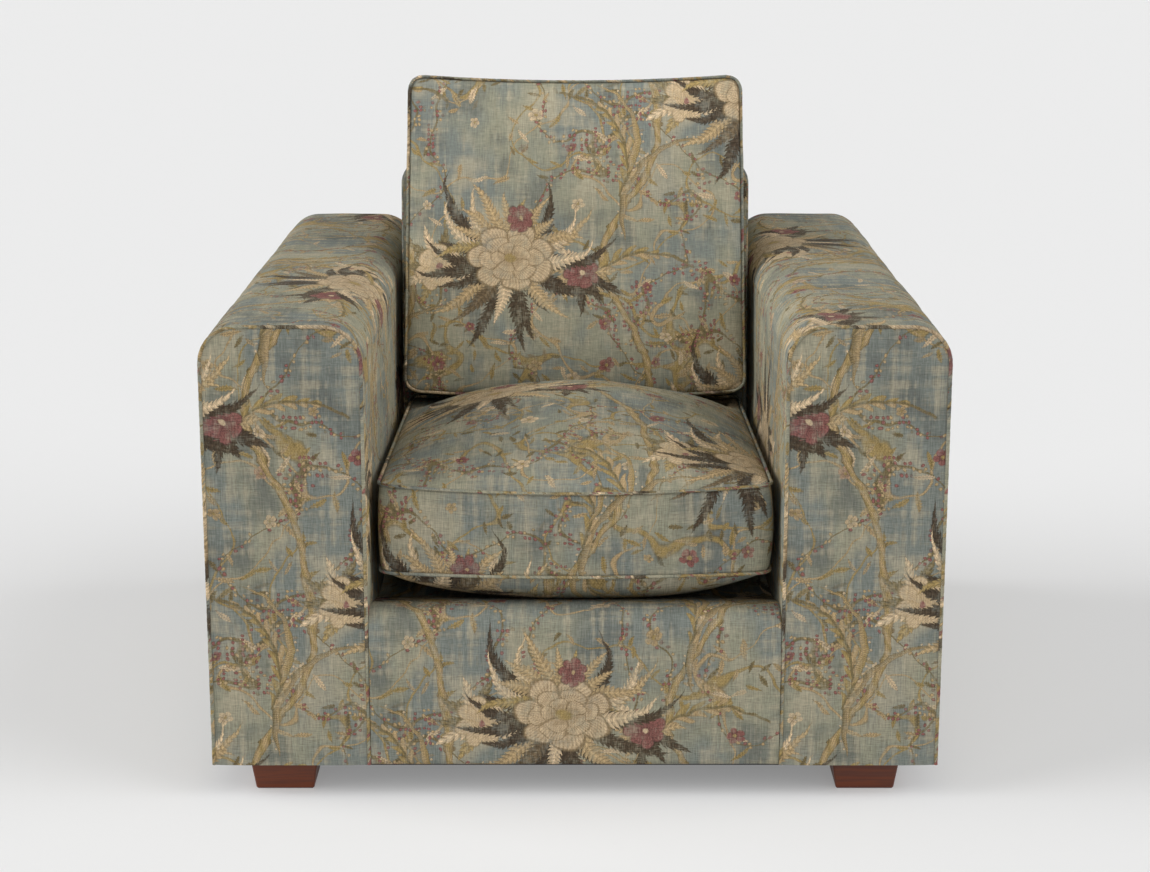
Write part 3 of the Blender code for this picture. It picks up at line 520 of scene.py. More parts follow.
def print_motifs(g, u, v):
    """Yields the print's motifs, from the lowest layer to the topmost."""
    place = g.vector(u, v)

    def vines(channel):
        far = (7.3 * channel, 3.1 * channel, 0.0)
        return lambda where: g.noise(g.vector_math("ADD", where, far), VINE_SCALE, 1.0, 0.4)

    fields = [vines(channel) for channel in range(3)]
    for field, tone, width in zip(fields, (OCHRE, TAN, OLIVE), (0.010, 0.008, 0.007)):
        yield Motif(g.step(abs(field(place) - 0.5), width, width * 0.4), tone)
    yield foliage(g, place, fields[0], 0.021, 0.055, (OLIVE, TAN, OCHRE), 0.17, 3.0)
    yield foliage(g, place, fields[1], 0.031, 0.050, (OCHRE, CREAM, TAN), 0.14, 4.0)
    yield berries(g, place, fields[2], 0.0068, 0.026, (TAN, ROSE))
    yield scattered_blossoms(g, u, v, 0.066, 0.0115, 0.42, (CREAM, ROSE, TAN, OCHRE), 21.0)

    # The second repeat lies between the flower heads of the first.
    x, y = repeat(g, u, v, REPEAT_WIDTH / 2, REPEAT_HEIGHT / 4)
    warm = (OCHRE, TAN, OLIVE)
    yield winding_stem(g, x, y, 0.04, 0.0050, (OCHRE, TAN))
    yield arching_blade(g, x, y, (0.095, -0.05), 0.115, 200, -125, 0.0072, (OLIVE, TAN, CREAM))
    yield arching_spray(g, x, y, (-0.115, 0.03), 0.105, -30, 120, 0.0125, 11, warm)
    yield arching_blade(g, x, y, (-0.085, 0.065), 0.088, -40, 115, 0.0062, (OCHRE, TAN, CREAM))
    yield arching_spray(g, x, y, (0.02, -0.225), 0.12, 150, -95, 0.0135, 10, (TAN, OCHRE, OLIVE))
    fx, fy = turned(x, y, (0.075, 0.125), 20)
    yield leaf_fan(g, fx, fy, 9.0, 0.082, 0.0125, 5.2, (OLIVE, OCHRE, CREAM), 51.0, teeth=7.0)
    yield flower_head(g, fx, fy, 0.036, (TAN, CREAM, ROSE), 0.06, 40.0)
    fx, fy = turned(x, y, (-0.078, -0.135), 160)
    yield leaf_fan(g, fx, fy, 8.0, 0.075, 0.0115, 4.6, (BROWN, TAN, CREAM), 61.0, teeth=7.0)
    yield flower_head(g, fx, fy, 0.028, (ROSE_DARK, ROSE, CREAM), 0.07, 30.0)

    # The first repeat: a large head with dark leaves behind paler ones.
    x, y = repeat(g, u, v, 0.0, 0.0)
    fx, fy = turned(x, y, (0.0, 0.02), 172)
    yield leaf_fan(g, fx, fy, 10.0, 0.158, 0.0135, 4.1, (BROWN, BROWN, TAN), 43.0, -0.22, 21.0)
    fx, fy = turned(x, y, (0.0, 0.012), 180)
    yield leaf_fan(g, fx, fy, 12.0, 0.138, 0.0125, 4.7, (BROWN, TAN, CREAM), 41.0, -0.26, 19.0)
    fx, fy = turned(x, y, (0.0, 0.02), 6)
    yield leaf_fan(g, fx, fy, 9.0, 0.120, 0.0115, 2.8, (OCHRE, TAN, CREAM), 45.0, -0.2, 17.0)
    tones = (PETAL_SHADE, CREAM, OCHRE)
    yield flower_head(g, x * 0.86, (y - 0.012) * 1.12, 0.058, tones, 0.045, 66.0, 3)
    yield flower_head(g, x - 0.012, y - 0.070, 0.021, (ROSE_DARK, ROSE, TAN), 0.08, 24.0)


def printed_linen():
    """Slubby linen with a faded print of flower heads, feathery leaves, sprays and winding stems."""
    g = Graph("printed_linen")
    cloth = g.wire(g.node("UVMap", {"uv_map": "cloth"}))
    u0, v0, _ = g.split(cloth)

    # The drawing is a little unsteady, and the yarn breaks up every outline.
    wobble = g.split(g.noise(cloth, 26.0, 1.0, output=1))
    yarn_across = g.noise(g.vector(u0 * 90.0, v0 * 1100.0), 1.0, 1.0, 0.6)
    yarn_up = g.noise(g.vector(u0 * 1100.0, v0 * 90.0), 1.0, 1.0, 0.6)
    u = u0 + (wobble[0] - 0.5) * WOBBLE + (yarn_across - 0.5) * FRAY
    v = v0 + (wobble[1] - 0.5) * WOBBLE + (yarn_up - 0.5) * FRAY

    haze = g.noise(g.vector(u0 * 9.0, v0 * 6.0), 1.0, 2.0, 0.6)
    streaks = g.noise(g.vector(u0 * 75.0, v0 * 6.0), 1.0, 2.0, 0.6)
    bands = g.noise(g.vector(u0 * 7.0, v0 * 90.0), 1.0, 2.0, 0.6)
    clouds = g.noise(cloth, 11.0, 2.0, 0.55)
    ground = g.mix(g.step(haze, 0.40, 0.60), GROUND_BLUE, GROUND_GREEN)
    ground = g.mix(g.step(clouds, 0.50, 0.72) * 0.75, ground, GROUND_DARK)
    ground = g.mix(g.step(clouds, 0.46, 0.26) * 0.75, ground, GROUND_HAZE)
    ground = g.mix(g.step(streaks * 0.6 + bands * 0.4, 0.45, 0.7) * 0.75, ground, GROUND_HAZE)

    # Each motif has a dark drawn edge, and fine hatching runs over them all.
    colour = ground
    drawn = 0.0
    for motif in print_motifs(g, u, v):
        colour = g.mix(motif.cover, colour, motif.colour)
        edge = motif.cover * (1 - motif.cover)
        colour = g.scale(colour, 1 - edge * EDGE_INK)
        drawn = g.most(drawn, motif.cover)
    sway = g.noise(cloth, 30.0, 0.0) * 26.0
    falling = g.sin((u * 0.8 + v) * HATCH_RATE + sway)
    rising = g.sin((u - v * 0.6) * HATCH_RATE * 0.8 - sway)
    hatching = falling * 0.5 + rising * 0.5
    colour = g.scale(colour, 1 + drawn * hatching * HATCH_INK)
    fade = g.noise(cloth, 42.0, 2.0, 0.7)
    thread = yarn_across + yarn_up
    worn = g.step(fade + (thread - 1.0) * 0.6 + (streaks - 0.5) * 0.4, 0.42, 0.85)
    colour = g.mix(worn * 0.5 + 0.07, colour, ground)
    slub = g.noise(g.vector(u0 * 50.0, v0 * 620.0), 1.0, 2.0, 0.65)
    slub_up = g.noise(g.vector(u0 * 620.0, v0 * 28.0), 1.0, 2.0, 0.65)
    grain = (slub - 0.5) * 0.5 + (slub_up - 0.5) * 0.75 + (thread - 1.0) * 0.5
    # Painted light: an attribute of the mesh lightens the colour of the arms' insides and the cushions' top
    # and front faces, where the lamps leave them too dark.
    painted_light = g.wire(g.node("Attribute", {"attribute_name": "painted_light"}), "Fac")
    colour = g.scale(colour, grain + 1.0 + painted_light)
    roughness = grain * -0.15 + 0.88
    height = thread * 0.5 + (slub + slub_up) * 0.5
    return g.finish(colour, roughness, height, 0.0005, 0.55, Specular_IOR_Level=0.12)


def wood(name, dark, light, roughness, coat):
    """Straight-grained wood, stained or bare."""
    g = Graph(name)
    place = g.wire(g.node("TexCoord"), 3)
    stretched = g.vector_math("MULTIPLY", place, GRAIN_STRETCH)
    figure = g.noise(stretched, 1.0, 5.0, 0.6, dimensions="3D")
    rings = g.sin(figure * 34.0) * 0.5 + 0.5
    fine = g.noise(g.vector_math("MULTIPLY", stretched, PORE_STRETCH), 1.0, 2.0, dimensions="3D")
    pores = g.step(fine, 0.62, 0.74)
    colour = g.mix(rings * 0.55 + figure * 0.4, dark, light)
    colour = g.mix(pores * 0.55, colour, dark)
    height = rings * 0.2 - pores
    return g.finish(colour, rings * 0.08 + roughness, height, 0.0003, 0.5, Coat_Weight=coat)


def plain_weave(name, dark, light, threads):
    """A plain woven or bonded cloth with crossing yarns."""
    g = Graph(name)
    x, y, z = g.split(g.wire(g.node("TexCoord"), 3))
    weave = g.sin(x * threads + z * threads) * g.sin(y * threads)
    blotch = g.noise(g.vector(x, y, z), 60.0, 3.0, dimensions="3D")
    colour = g.mix(weave * 0.3 + blotch * 0.5, dark, light)
    return g.finish(colour, blotch * 0.1 + 0.85, weave, 0.0004, 0.6)


def steel():
    g = Graph("bolt_steel")
    scratch = g.noise(g.wire(g.node("TexCoord"), 3), 900.0, 3.0, dimensions="3D")
    colour = g.mix(scratch, linear("a8a9ad"), linear("c9cacc"))
    return g.finish(colour, scratch * 0.2 + 0.28, scratch, 0.0001, 0.3, Metallic=1.0)


def smooth_waves(first, second, seed, longest):
    """A gentle unevenness between about -1 and 1 over two coordinates, the same each run."""
    random = np.random.default_rng(seed)
    total = np.zeros(np.broadcast(first, second).shape)
    for _ in range(WAVE_COUNT):
        turn = random.uniform(0, TAU)
        length = longest * random.uniform(0.35, 1.0)
        phase = random.uniform(0, TAU)
        total += np.sin((first * math.cos(turn) + second * math.sin(turn)) * TAU / length + phase)
    return total / (1.4 * WAVE_COUNT**0.5)


class Cover:
    """A cloth piece, grown from grids of points that carry their places on the printed cloth."""

    def __init__(self):
        self.points, self.faces, self.places, self.painted_light = [], [], [], []
        self.count = 0

    def grid(self, points, places, painted_light=0.0):
        """Adds a grid: points is rows by columns by 3, and places is rows by columns by 2; the last argument
        is how much lighter the colour is painted there, as painted light.
        """
        rows, columns = points.shape[:2]
        ids = self.count + np.arange(rows * columns).reshape(rows, columns)
        quads = np.stack([ids[:-1, :-1], ids[:-1, 1:], ids[1:, 1:], ids[1:, :-1]], axis=-1)
        self.points.append(points.reshape(-1, 3))
        self.places.append(places.reshape(-1, 2))
        self.faces.append(quads.reshape(-1, 4))
        self.painted_light.append(np.broadcast_to(painted_light, (rows, columns)).reshape(-1))
        self.count += rows * columns

    def make(self, name, material, *nodes, subdivide=0):
        """Turns the grids into one piece that stands for some of the model's nodes."""
        points = np.vstack(self.points)
        places = np.vstack(self.places)
        faces = np.vstack(self.faces)
        mesh = bpy.data.meshes.new(name)
        mesh.from_pydata(points.tolist(), [], faces.tolist())
        layer = mesh.uv_layers.new(name="cloth")
        layer.data.foreach_set("uv", places[faces.reshape(-1)].reshape(-1).astype(np.float32))
        # Painted light: a share per point by which the linen's colour is lightened.
        painted_light = mesh.attributes.new("painted_light", "FLOAT", "POINT")
        painted_light.data.foreach_set("value", np.concatenate(self.painted_light).astype(np.float32))
        shaped = bmesh.new()
        shaped.from_mesh(mesh)
        bmesh.ops.remove_doubles(shaped, verts=shaped.verts, dist=0.00002)
        bmesh.ops.dissolve_degenerate(shaped, edges=shaped.edges, dist=0.000005)
        bmesh.ops.recalc_face_normals(shaped, faces=shaped.faces)
        shaped.to_mesh(mesh)
        shaped.free()
        mesh.materials.append(material)
        mesh.shade_smooth()
        obj = bpy.data.objects.new(name, mesh)
        bpy.context.scene.collection.objects.link(obj)
        if subdivide:
            finer = obj.modifiers.new("finer", "SUBSURF")
            finer.levels = finer.render_levels = subdivide
        return dress(obj, *nodes)


def dress(obj, *nodes):
    """Puts a finished piece of printed cloth in its place on the chair."""
    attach(obj, "root")
    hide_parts(*nodes)
    return obj


def unit(vectors):
    return vectors / np.linalg.norm(vectors, axis=-1, keepdims=True)


def walk(path):
    """The length walked along a path to each of its points."""
    return np.concatenate([[0.0], np.cumsum(np.linalg.norm(np.diff(path, axis=0), axis=1))])


def directions(path, closed=False):
    """The way ahead at each point of a path; a closed one ends on its first point."""
    ahead = np.gradient(path, axis=0)
    if closed:
        ahead[0] = ahead[-1] = path[1] - path[-2]
    return unit(ahead)


def resample(line, spacing):
    """A polyline's points at even steps, and the length walked to each."""
    line = np.array(line, float)
    walked = walk(line)
    even = np.linspace(0.0, walked[-1], max(2, round(walked[-1] / spacing) + 1))
    return np.stack([np.interp(even, walked, line[:, k]) for k in range(line.shape[1])], axis=1), even


def arc(centre, radius, first, last, steps=16):
    angles = np.radians(np.linspace(first, last, steps + 1))
    return [(centre[0] + radius * math.cos(a), centre[1] + radius * math.sin(a)) for a in angles]


def arch(half, top, corner, foot):
    """A round-cornered arch about x = 0, from its left foot over to its right foot."""
    return [
        (-half, foot),
        *arc((-half + corner, top - corner), corner, 180, 90),
        *arc((half - corner, top - corner), corner, 90, 0),
        (half, foot),
    ]


def outward(line):
    """Unit normals of a line in a plane, to its left side as it is walked."""
    ahead = directions(line)
    return np.stack([-ahead[:, 1], ahead[:, 0]], axis=1)


def tube(name, node, path, radius, material, closed, up):
    """A piping cord in its cloth, along a path, with the slight gathers of its stitching."""
    path = np.array(path, float)
    if closed:
        path = np.vstack([path, path[:1]])
    walked = walk(path)
    ahead = directions(path, closed)
    across = unit(np.cross(ahead, np.array(up, float)))
    square = np.cross(across, ahead)
    turns = np.linspace(0, TAU, PIPE_SIDES + 1)
    swell = 1 + 0.05 * np.sin(walked * TAU / 0.011) + 0.04 * np.sin(walked * TAU / 0.047)
    radii = radius * swell[:, None, None]
    cosines, sines = np.cos(turns)[None, :, None], np.sin(turns)[None, :, None]
    ring = cosines * across[:, None] + sines * square[:, None]
    points = path[:, None] + radii * ring
    # The cord's cloth is cut on the bias, so the print runs across it.
    bias = walked[:, None] * math.sqrt(0.5)
    places = np.stack(np.broadcast_arrays(bias, bias + turns[None, :] * radius), axis=-1)
    cover = Cover()
    cover.grid(points, places)
    cover.make(name, material, node)


def arm(side, sign, material):
    """One arm: the cloth over it, its front facing and the piping between them."""
    low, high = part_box(f"{side}_arm_cover")
    panel_low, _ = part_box(f"{side}_arm_front_panel")
    middle, half = (low.x + high.x) / 2, (high.x - low.x) / 2
    line = [(-half + HEM, low.z), *arch(half, high.z, ARM_CORNER, low.z), (half - HEM, low.z)]
    line, walked = resample(line, SPACING * 0.8)
    normal = outward(line)
    seam = panel_low.y + ARM_PIPE_RADIUS
    fine = np.array([0.0, 0.0015, 0.003, 0.005, 0.0075, 0.011, 0.015])
    length = high.y - seam
    ys = seam + np.concatenate([fine, np.linspace(0.02, length - 0.02, 130), length - fine[::-1]])
    along, arc_length = np.meshgrid(ys, walked, indexing="ij")
    from_seam = along - seam
    from_rear = high.y - along
    on_side = np.abs(normal[:, 0])[None, :]
    rise = np.clip((line[:, 1] - low.z) / (high.z - low.z), 0, 1)[None, :]
    over_top = (1 - on_side) * np.cos(line[:, 0] / half * 1.4)
    full = ARM_SIDE_SWELL * np.sin(np.pi * rise) * on_side + ARM_TOP_SWELL * over_top
    offset = full + 0.0008 * smooth_waves(along, arc_length, 5 + sign, 0.45)
    offset = offset + 0.0004 * smooth_waves(along, arc_length, 9 + sign, 0.12)
    gathers = np.sin(arc_length * TAU / ARM_GATHER_PERIOD + 2.0 * np.sin(arc_length * 31.0))
    offset = offset + ARM_GATHER_HEIGHT * gathers * np.exp(-from_seam / ARM_GATHER_REACH)
    offset = offset - ARM_SEAM_PULL * np.exp(-from_seam / STITCH_REACH)
    offset = offset - ARM_REAR_PULL * np.exp(-from_rear / STITCH_REACH)
    on_hem = (line[:, 1] < low.z + TINY)[None, :]
    offset = np.where(on_hem, 0.0, offset)
    x = middle + line[:, 0][None, :] + normal[:, 0][None, :] * offset
    z = line[:, 1][None, :] + normal[:, 1][None, :] * offset
    points = np.stack(np.broadcast_arrays(x, along, z), axis=-1)
    upward = arc_length if sign < 0 else walked[-1] - arc_length
    places = np.stack(np.broadcast_arrays(sign * along, upward), axis=-1)
    # Painted light: the arm's inside faces are painted lighter, as the lamps leave them too dark.
    inwards = np.clip(-sign * normal[:, 0], 0.0, 1.0)[None, :]
    wrap = Cover()
    wrap.grid(points, places, PAINTED_LIGHT_SHARE["arm_inside"] * inwards)
    wrap.make(f"{side}_arm_cloth", material, f"{side}_arm_cover")

    edge = arch(half + PIPE_PROUD - ARM_PIPE_RADIUS, high.z + PIPE_PROUD - ARM_PIPE_RADIUS, ARM_CORNER, low.z)
    edge, _ = resample(edge, 0.004)
    path = np.stack([middle + edge[:, 0], np.full(len(edge), panel_low.y + 0.0018), edge[:, 1]], axis=1)
    node = f"{side}_arm_front_piping"
    tube(f"{side}_arm_welt", node, path, ARM_PIPE_RADIUS, material, False, (0, 1, 0))

    inset = ARM_PIPE_RADIUS
    facing_edge = arch(half - inset, high.z - inset, ARM_CORNER - inset, low.z)
    facing_edge, _ = resample(facing_edge, 0.006)
    spine_top = high.z - half
    spine = np.stack([np.zeros(len(facing_edge)), np.minimum(facing_edge[:, 1], spine_top)], axis=1)
    shares = np.concatenate([[1.0, 0.985, 0.965, 0.94, 0.91], np.linspace(0.86, 0.0, 14)])
    rings = spine[None] + (facing_edge - spine)[None] * shares[:, None, None]
    plump = 0.0024 * (1 - shares**6)[:, None] * np.ones(len(facing_edge))[None, :]
    plump = plump + 0.0005 * smooth_waves(rings[..., 0], rings[..., 1], 31 + sign, 0.3)
    y = panel_low.y + 0.0012 - plump
    y[0] += 0.0016
    points = np.stack([middle + rings[..., 0], y, rings[..., 1]], axis=-1)
    places = np.stack([rings[..., 0], rings[..., 1]], axis=-1) + np.array(PLACE_ON_PRINT["arm_front"])
    facing = Cover()
    facing.grid(points, places)
    facing.make(f"{side}_arm_facing", material, f"{side}_arm_front_panel")


def deck_height(y, front, roll_top, deck):
    """The roll along the seat's front edge, which eases down to the flat deck."""
    share = (y - front - ROLL_FLAT_DEPTH) / (ROLL_END_DEPTH - ROLL_FLAT_DEPTH)
    eased = (1 + np.cos(np.pi * np.clip(share, 0.0, 1.0))) / 2
    return deck + (roll_top - deck) * eased


def front_border(material):
    """The cloth up the front, over the roll and back along the deck under the seat cushion."""
    low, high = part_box("front_border_cover")
    _, deck_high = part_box("deck_cloth")
    front = low.y - PANEL_RECESS
    line = [(low.y + HEM, low.z), (low.y, low.z)]
    line += arc((low.y + BORDER_CORNER, high.z - BORDER_CORNER), BORDER_CORNER, 180, 90, 12)
    for y in np.linspace(front + ROLL_FLAT_DEPTH, front + ROLL_END_DEPTH, 14):
        line.append((y, float(deck_height(y, front, high.z, deck_high.z))))
    line.append((deck_high.y, deck_high.z))
    line, walked = resample(line, SPACING * 0.8)
    normal = outward(line)
    half = high.x
    fine = np.array([0.0, 0.002, 0.004, 0.007, 0.011, 0.016])
    xs = np.concatenate([-half + fine, np.linspace(-half + 0.023, half - 0.023, 70), half - fine[::-1]])
    across, arc_length = np.meshgrid(xs, walked, indexing="ij")
    from_side = half - np.abs(across)
    face = np.clip((high.z - line[:, 1]) / (high.z - low.z), 0, 1)[None, :]
    offset = 0.002 * np.sin(np.pi * face) + 0.0006 * smooth_waves(across, arc_length, 71, 0.3)
    offset = offset - 0.0013 * np.exp(-from_side / 0.005)
    on_roll = np.exp(-(((line[:, 0] - low.y - 0.03) / 0.035) ** 2))[None, :]
    offset = offset + 0.0007 * on_roll * smooth_waves(across, arc_length * 0.3, 72, 0.09)
    on_hem = (line[:, 1] < low.z + TINY)[None, :]
    offset = np.where(on_hem, 0.0, offset)
    y = line[:, 0][None, :] + normal[:, 0][None, :] * offset
    z = line[:, 1][None, :] + normal[:, 1][None, :] * offset
    points = np.stack(np.broadcast_arrays(across, y, z), axis=-1)
    places = np.stack(np.broadcast_arrays(across, arc_length), axis=-1) + np.array(PLACE_ON_PRINT["border"])
    cover = Cover()
    cover.grid(points, places)
    cover.make("front_border_cloth", material, "front_border_cover", "deck_cloth")


def fixed_back(material):
    """The cloth on the fixed back: over its top and sides, round its front edge and down its front."""
    low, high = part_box("back_cover")
    half, top, foot = high.x, high.z, low.z
    edge, walked = resample(arch(half, top, BACK_CORNER, foot), SPACING)
    normal = outward(edge)

    def slope(z):
        return low.y + np.maximum(z - DECK_HEIGHT, 0.0) * math.tan(BACK_SLOPE)

    centre_z = top - BACK_CORNER
    centre_y = slope(centre_z) + BACK_CORNER / math.cos(BACK_SLOPE)

    def front(z):
        rise = np.clip(z - centre_z, 0.0, BACK_CORNER)
        rounded = centre_y - np.sqrt(BACK_CORNER**2 - rise**2)
        return np.where(z > centre_z + BACK_CORNER * math.sin(BACK_SLOPE), rounded, slope(z))

    band = Cover()
    rows, places = [], []
    for share in np.linspace(0, 1, 42):
        y = high.y + (front(edge[:, 1]) + BACK_SIDE_EDGE - high.y) * share
        bumps = 0.0006 * smooth_waves(y, walked, 81, 0.3) * min(1.0, 8 * share)
        x, z = (edge + normal * bumps[:, None]).T
        rows.append(np.stack([x, y, z], axis=1))
        places.append(np.stack([walked, -y], axis=1))
    for turn in np.radians(np.linspace(15, 90, 6)):
        inset = BACK_SIDE_EDGE * (1 - math.cos(turn))
        y = front(edge[:, 1]) + BACK_SIDE_EDGE * (1 - math.sin(turn))
        x, z = (edge - normal * inset).T
        rows.append(np.stack([x, y, z], axis=1))
        places.append(np.stack([walked, -y + turn * BACK_SIDE_EDGE], axis=1))
    band.grid(np.array(rows), np.array(places))
    last = rows[-1]
    target = np.array([0.0, slope(foot), foot])
    below_top = BACK_CORNER * (1 - np.cos(np.radians(np.linspace(0, 90, 12)))) / (top - foot)
    shares = np.concatenate([1 - below_top, np.linspace(1 - below_top[-1], 0, 28)[1:]])
    rows = [target + (last - target) * share for share in shares]
    for row in rows[1:]:
        row[:, 1] = front(row[:, 2])
    rows = np.array(rows)
    band.grid(rows, rows[..., (0, 2)])
    band.make("fixed_back_cloth", material, "back_cover")


def distance_to_outline(x, z, outline):
    """How far points are from the nearest stretch of a closed outline."""
    nearest = np.full(x.shape, 9.0)
    for (x0, z0), (x1, z1) in zip(outline, outline[1:] + outline[:1]):
        length = (x1 - x0) ** 2 + (z1 - z0) ** 2
        share = np.clip(((x - x0) * (x1 - x0) + (z - z0) * (z1 - z0)) / max(length, 1e-12), 0, 1)
        nearest = np.minimum(nearest, np.hypot(x - x0 - share * (x1 - x0), z - z0 - share * (z1 - z0)))
    return nearest


def outside_back(material):
    """The rear panel, cut from the model's own panel into small cells and given a soft surface."""
    source = frame["nodes"]["outside_back_panel"]
    low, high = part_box("outside_back_panel")
    shaped = bmesh.new()
    shaped.from_mesh(source.data)
    bmesh.ops.remove_doubles(shaped, verts=shaped.verts, dist=0.00002)
    bmesh.ops.dissolve_limit(shaped, angle_limit=0.01, verts=shaped.verts, edges=shaped.edges)
    for axis, start, end in ((0, low.x, high.x), (2, low.z, high.z)):
        direction = Vector([float(k == axis) for k in range(3)])
        for place in np.arange(start + 0.003, end, 0.011):
            everything = shaped.verts[:] + shaped.edges[:] + shaped.faces[:]
            bmesh.ops.bisect_plane(shaped, geom=everything, plane_co=direction * place, plane_no=direction)
    outline = []
    for loop_edge in [e for e in shaped.edges if e.is_manifold and e.calc_face_angle(0) > 1.0]:
        a, b = (v.co for v in loop_edge.verts)
        if min(a.y, b.y) > high.y - TINY:
            outline.append(((a.x, a.z), (b.x, b.z)))
    xs = np.array([v.co.x for v in shaped.verts])
    zs = np.array([v.co.z for v in shaped.verts])
    nearest = np.full(len(xs), 9.0)
    for pair in outline:
        nearest = np.minimum(nearest, distance_to_outline(xs, zs, list(pair)))
    swell = 0.004 * (1 - np.exp(-nearest / 0.02)) + 0.0008 * smooth_waves(xs, zs, 91, 0.4)
    for vertex, out in zip(shaped.verts, swell * (nearest > TINY)):
        if vertex.co.y > high.y - TINY:
            vertex.co.y += float(out)
    cloth = shaped.loops.layers.uv.new("cloth")
    for face in shaped.faces:
        for loop in face.loops:
            loop[cloth].uv = (-loop.vert.co.x, loop.vert.co.z)
    mesh = bpy.data.meshes.new("outside_back_cloth")
    shaped.to_mesh(mesh)
    shaped.free()
    mesh.materials.clear()
    mesh.materials.append(material)
    mesh.shade_smooth()
    mesh.set_sharp_from_angle(angle=math.radians(50))
    obj = bpy.data.objects.new("outside_back_cloth", mesh)
    bpy.context.scene.collection.objects.link(obj)
    dress(obj, "outside_back_panel")


class CushionShape:
    """A boxed cushion's plan and heights, as the model has them. x runs across, y along and z through it."""

    def __init__(self, half_width, half_length, boxing, crowns, dips, corner, bulge, bow, press=None):
        self.half_width, self.half_length, self.boxing = half_width, half_length, boxing
        self.crowns, self.dips, self.corner = crowns, dips, corner
        self.bulge, self.bow, self.press = bulge, bow, press

    def rounded(self, a, b):
        """Where a point of the square from -1 to 1 lies on the plan, whose corners are round."""
        reach = np.maximum(np.abs(a), np.abs(b))
        safe = np.maximum(reach, 1e-9)
        edge_a, edge_b = a / safe * self.half_width, b / safe * self.half_length
        inner_a = np.clip(edge_a, -self.half_width + self.corner, self.half_width - self.corner)
        inner_b = np.clip(edge_b, -self.half_length + self.corner, self.half_length - self.corner)
        out_a, out_b = edge_a - inner_a, edge_b - inner_b
        length = np.maximum(np.hypot(out_a, out_b), 1e-9)
        pull = np.where(length > self.corner, self.corner / length, 1.0)
        shift_a, shift_b = inner_a + out_a * pull - edge_a, inner_b + out_b * pull - edge_b
        share = reach**8
        return a * self.half_width + shift_a * share, b * self.half_length + shift_b * share

    def seam_height(self, a, b, face):
        return self.boxing / 2 - self.dips[face] * (1 - (a * b) ** 2)

    def face_height(self, a, b, face):
        crown, fall, fullness = self.crowns[face]
        rise = np.clip(1 - np.abs(a) ** fall, 0, 1) * np.clip(1 - np.abs(b) ** fall, 0, 1)
        kept = self.press(b) if self.press and face == 0 else 1.0
        return self.seam_height(a, b, face) + crown * kept * rise**fullness

    def seam_loop(self):
        """The square's boundary from the middle of its far side, clockwise seen from above."""
        n = CUSHION_CELLS
        run = eased_cells(n)
        near = [(t, -1.0) for t in run[:-1]]
        right = [(1.0, t) for t in run[:-1]]
        far = [(-t, 1.0) for t in run[:-1]]
        left = [(-1.0, -t) for t in run[:-1]]
        loop = near + right + far + left
        start = 2 * n + n // 2
        loop = loop[start:] + loop[:start]
        return np.array(loop + loop[:1])


def eased_cells(n):
    """n cells from -1 to 1, finer towards both ends."""
    even = np.linspace(-1, 1, n + 1)
    return 0.82 * even + 0.18 * np.sin(even * np.pi / 2)


def seam_gathers(walked, length, seed):
    """Puckers beside a seam: uneven folds along it, between -1 and 1."""
    random = np.random.default_rng(seed)
    total = np.zeros_like(walked)
    for period in (0.019, 0.027, 0.041, 0.066):
        waves = max(1, round(length / period))
        total = total + np.sin(walked / length * TAU * waves + random.uniform(0, TAU))
    return total / 2.6


def beside_seam(t):
    """How strongly the boxing puckers at a share of its height from a seam."""
    return math.exp(-t / PUCKER_FADE) - math.exp(-t / STITCH_HOLD)


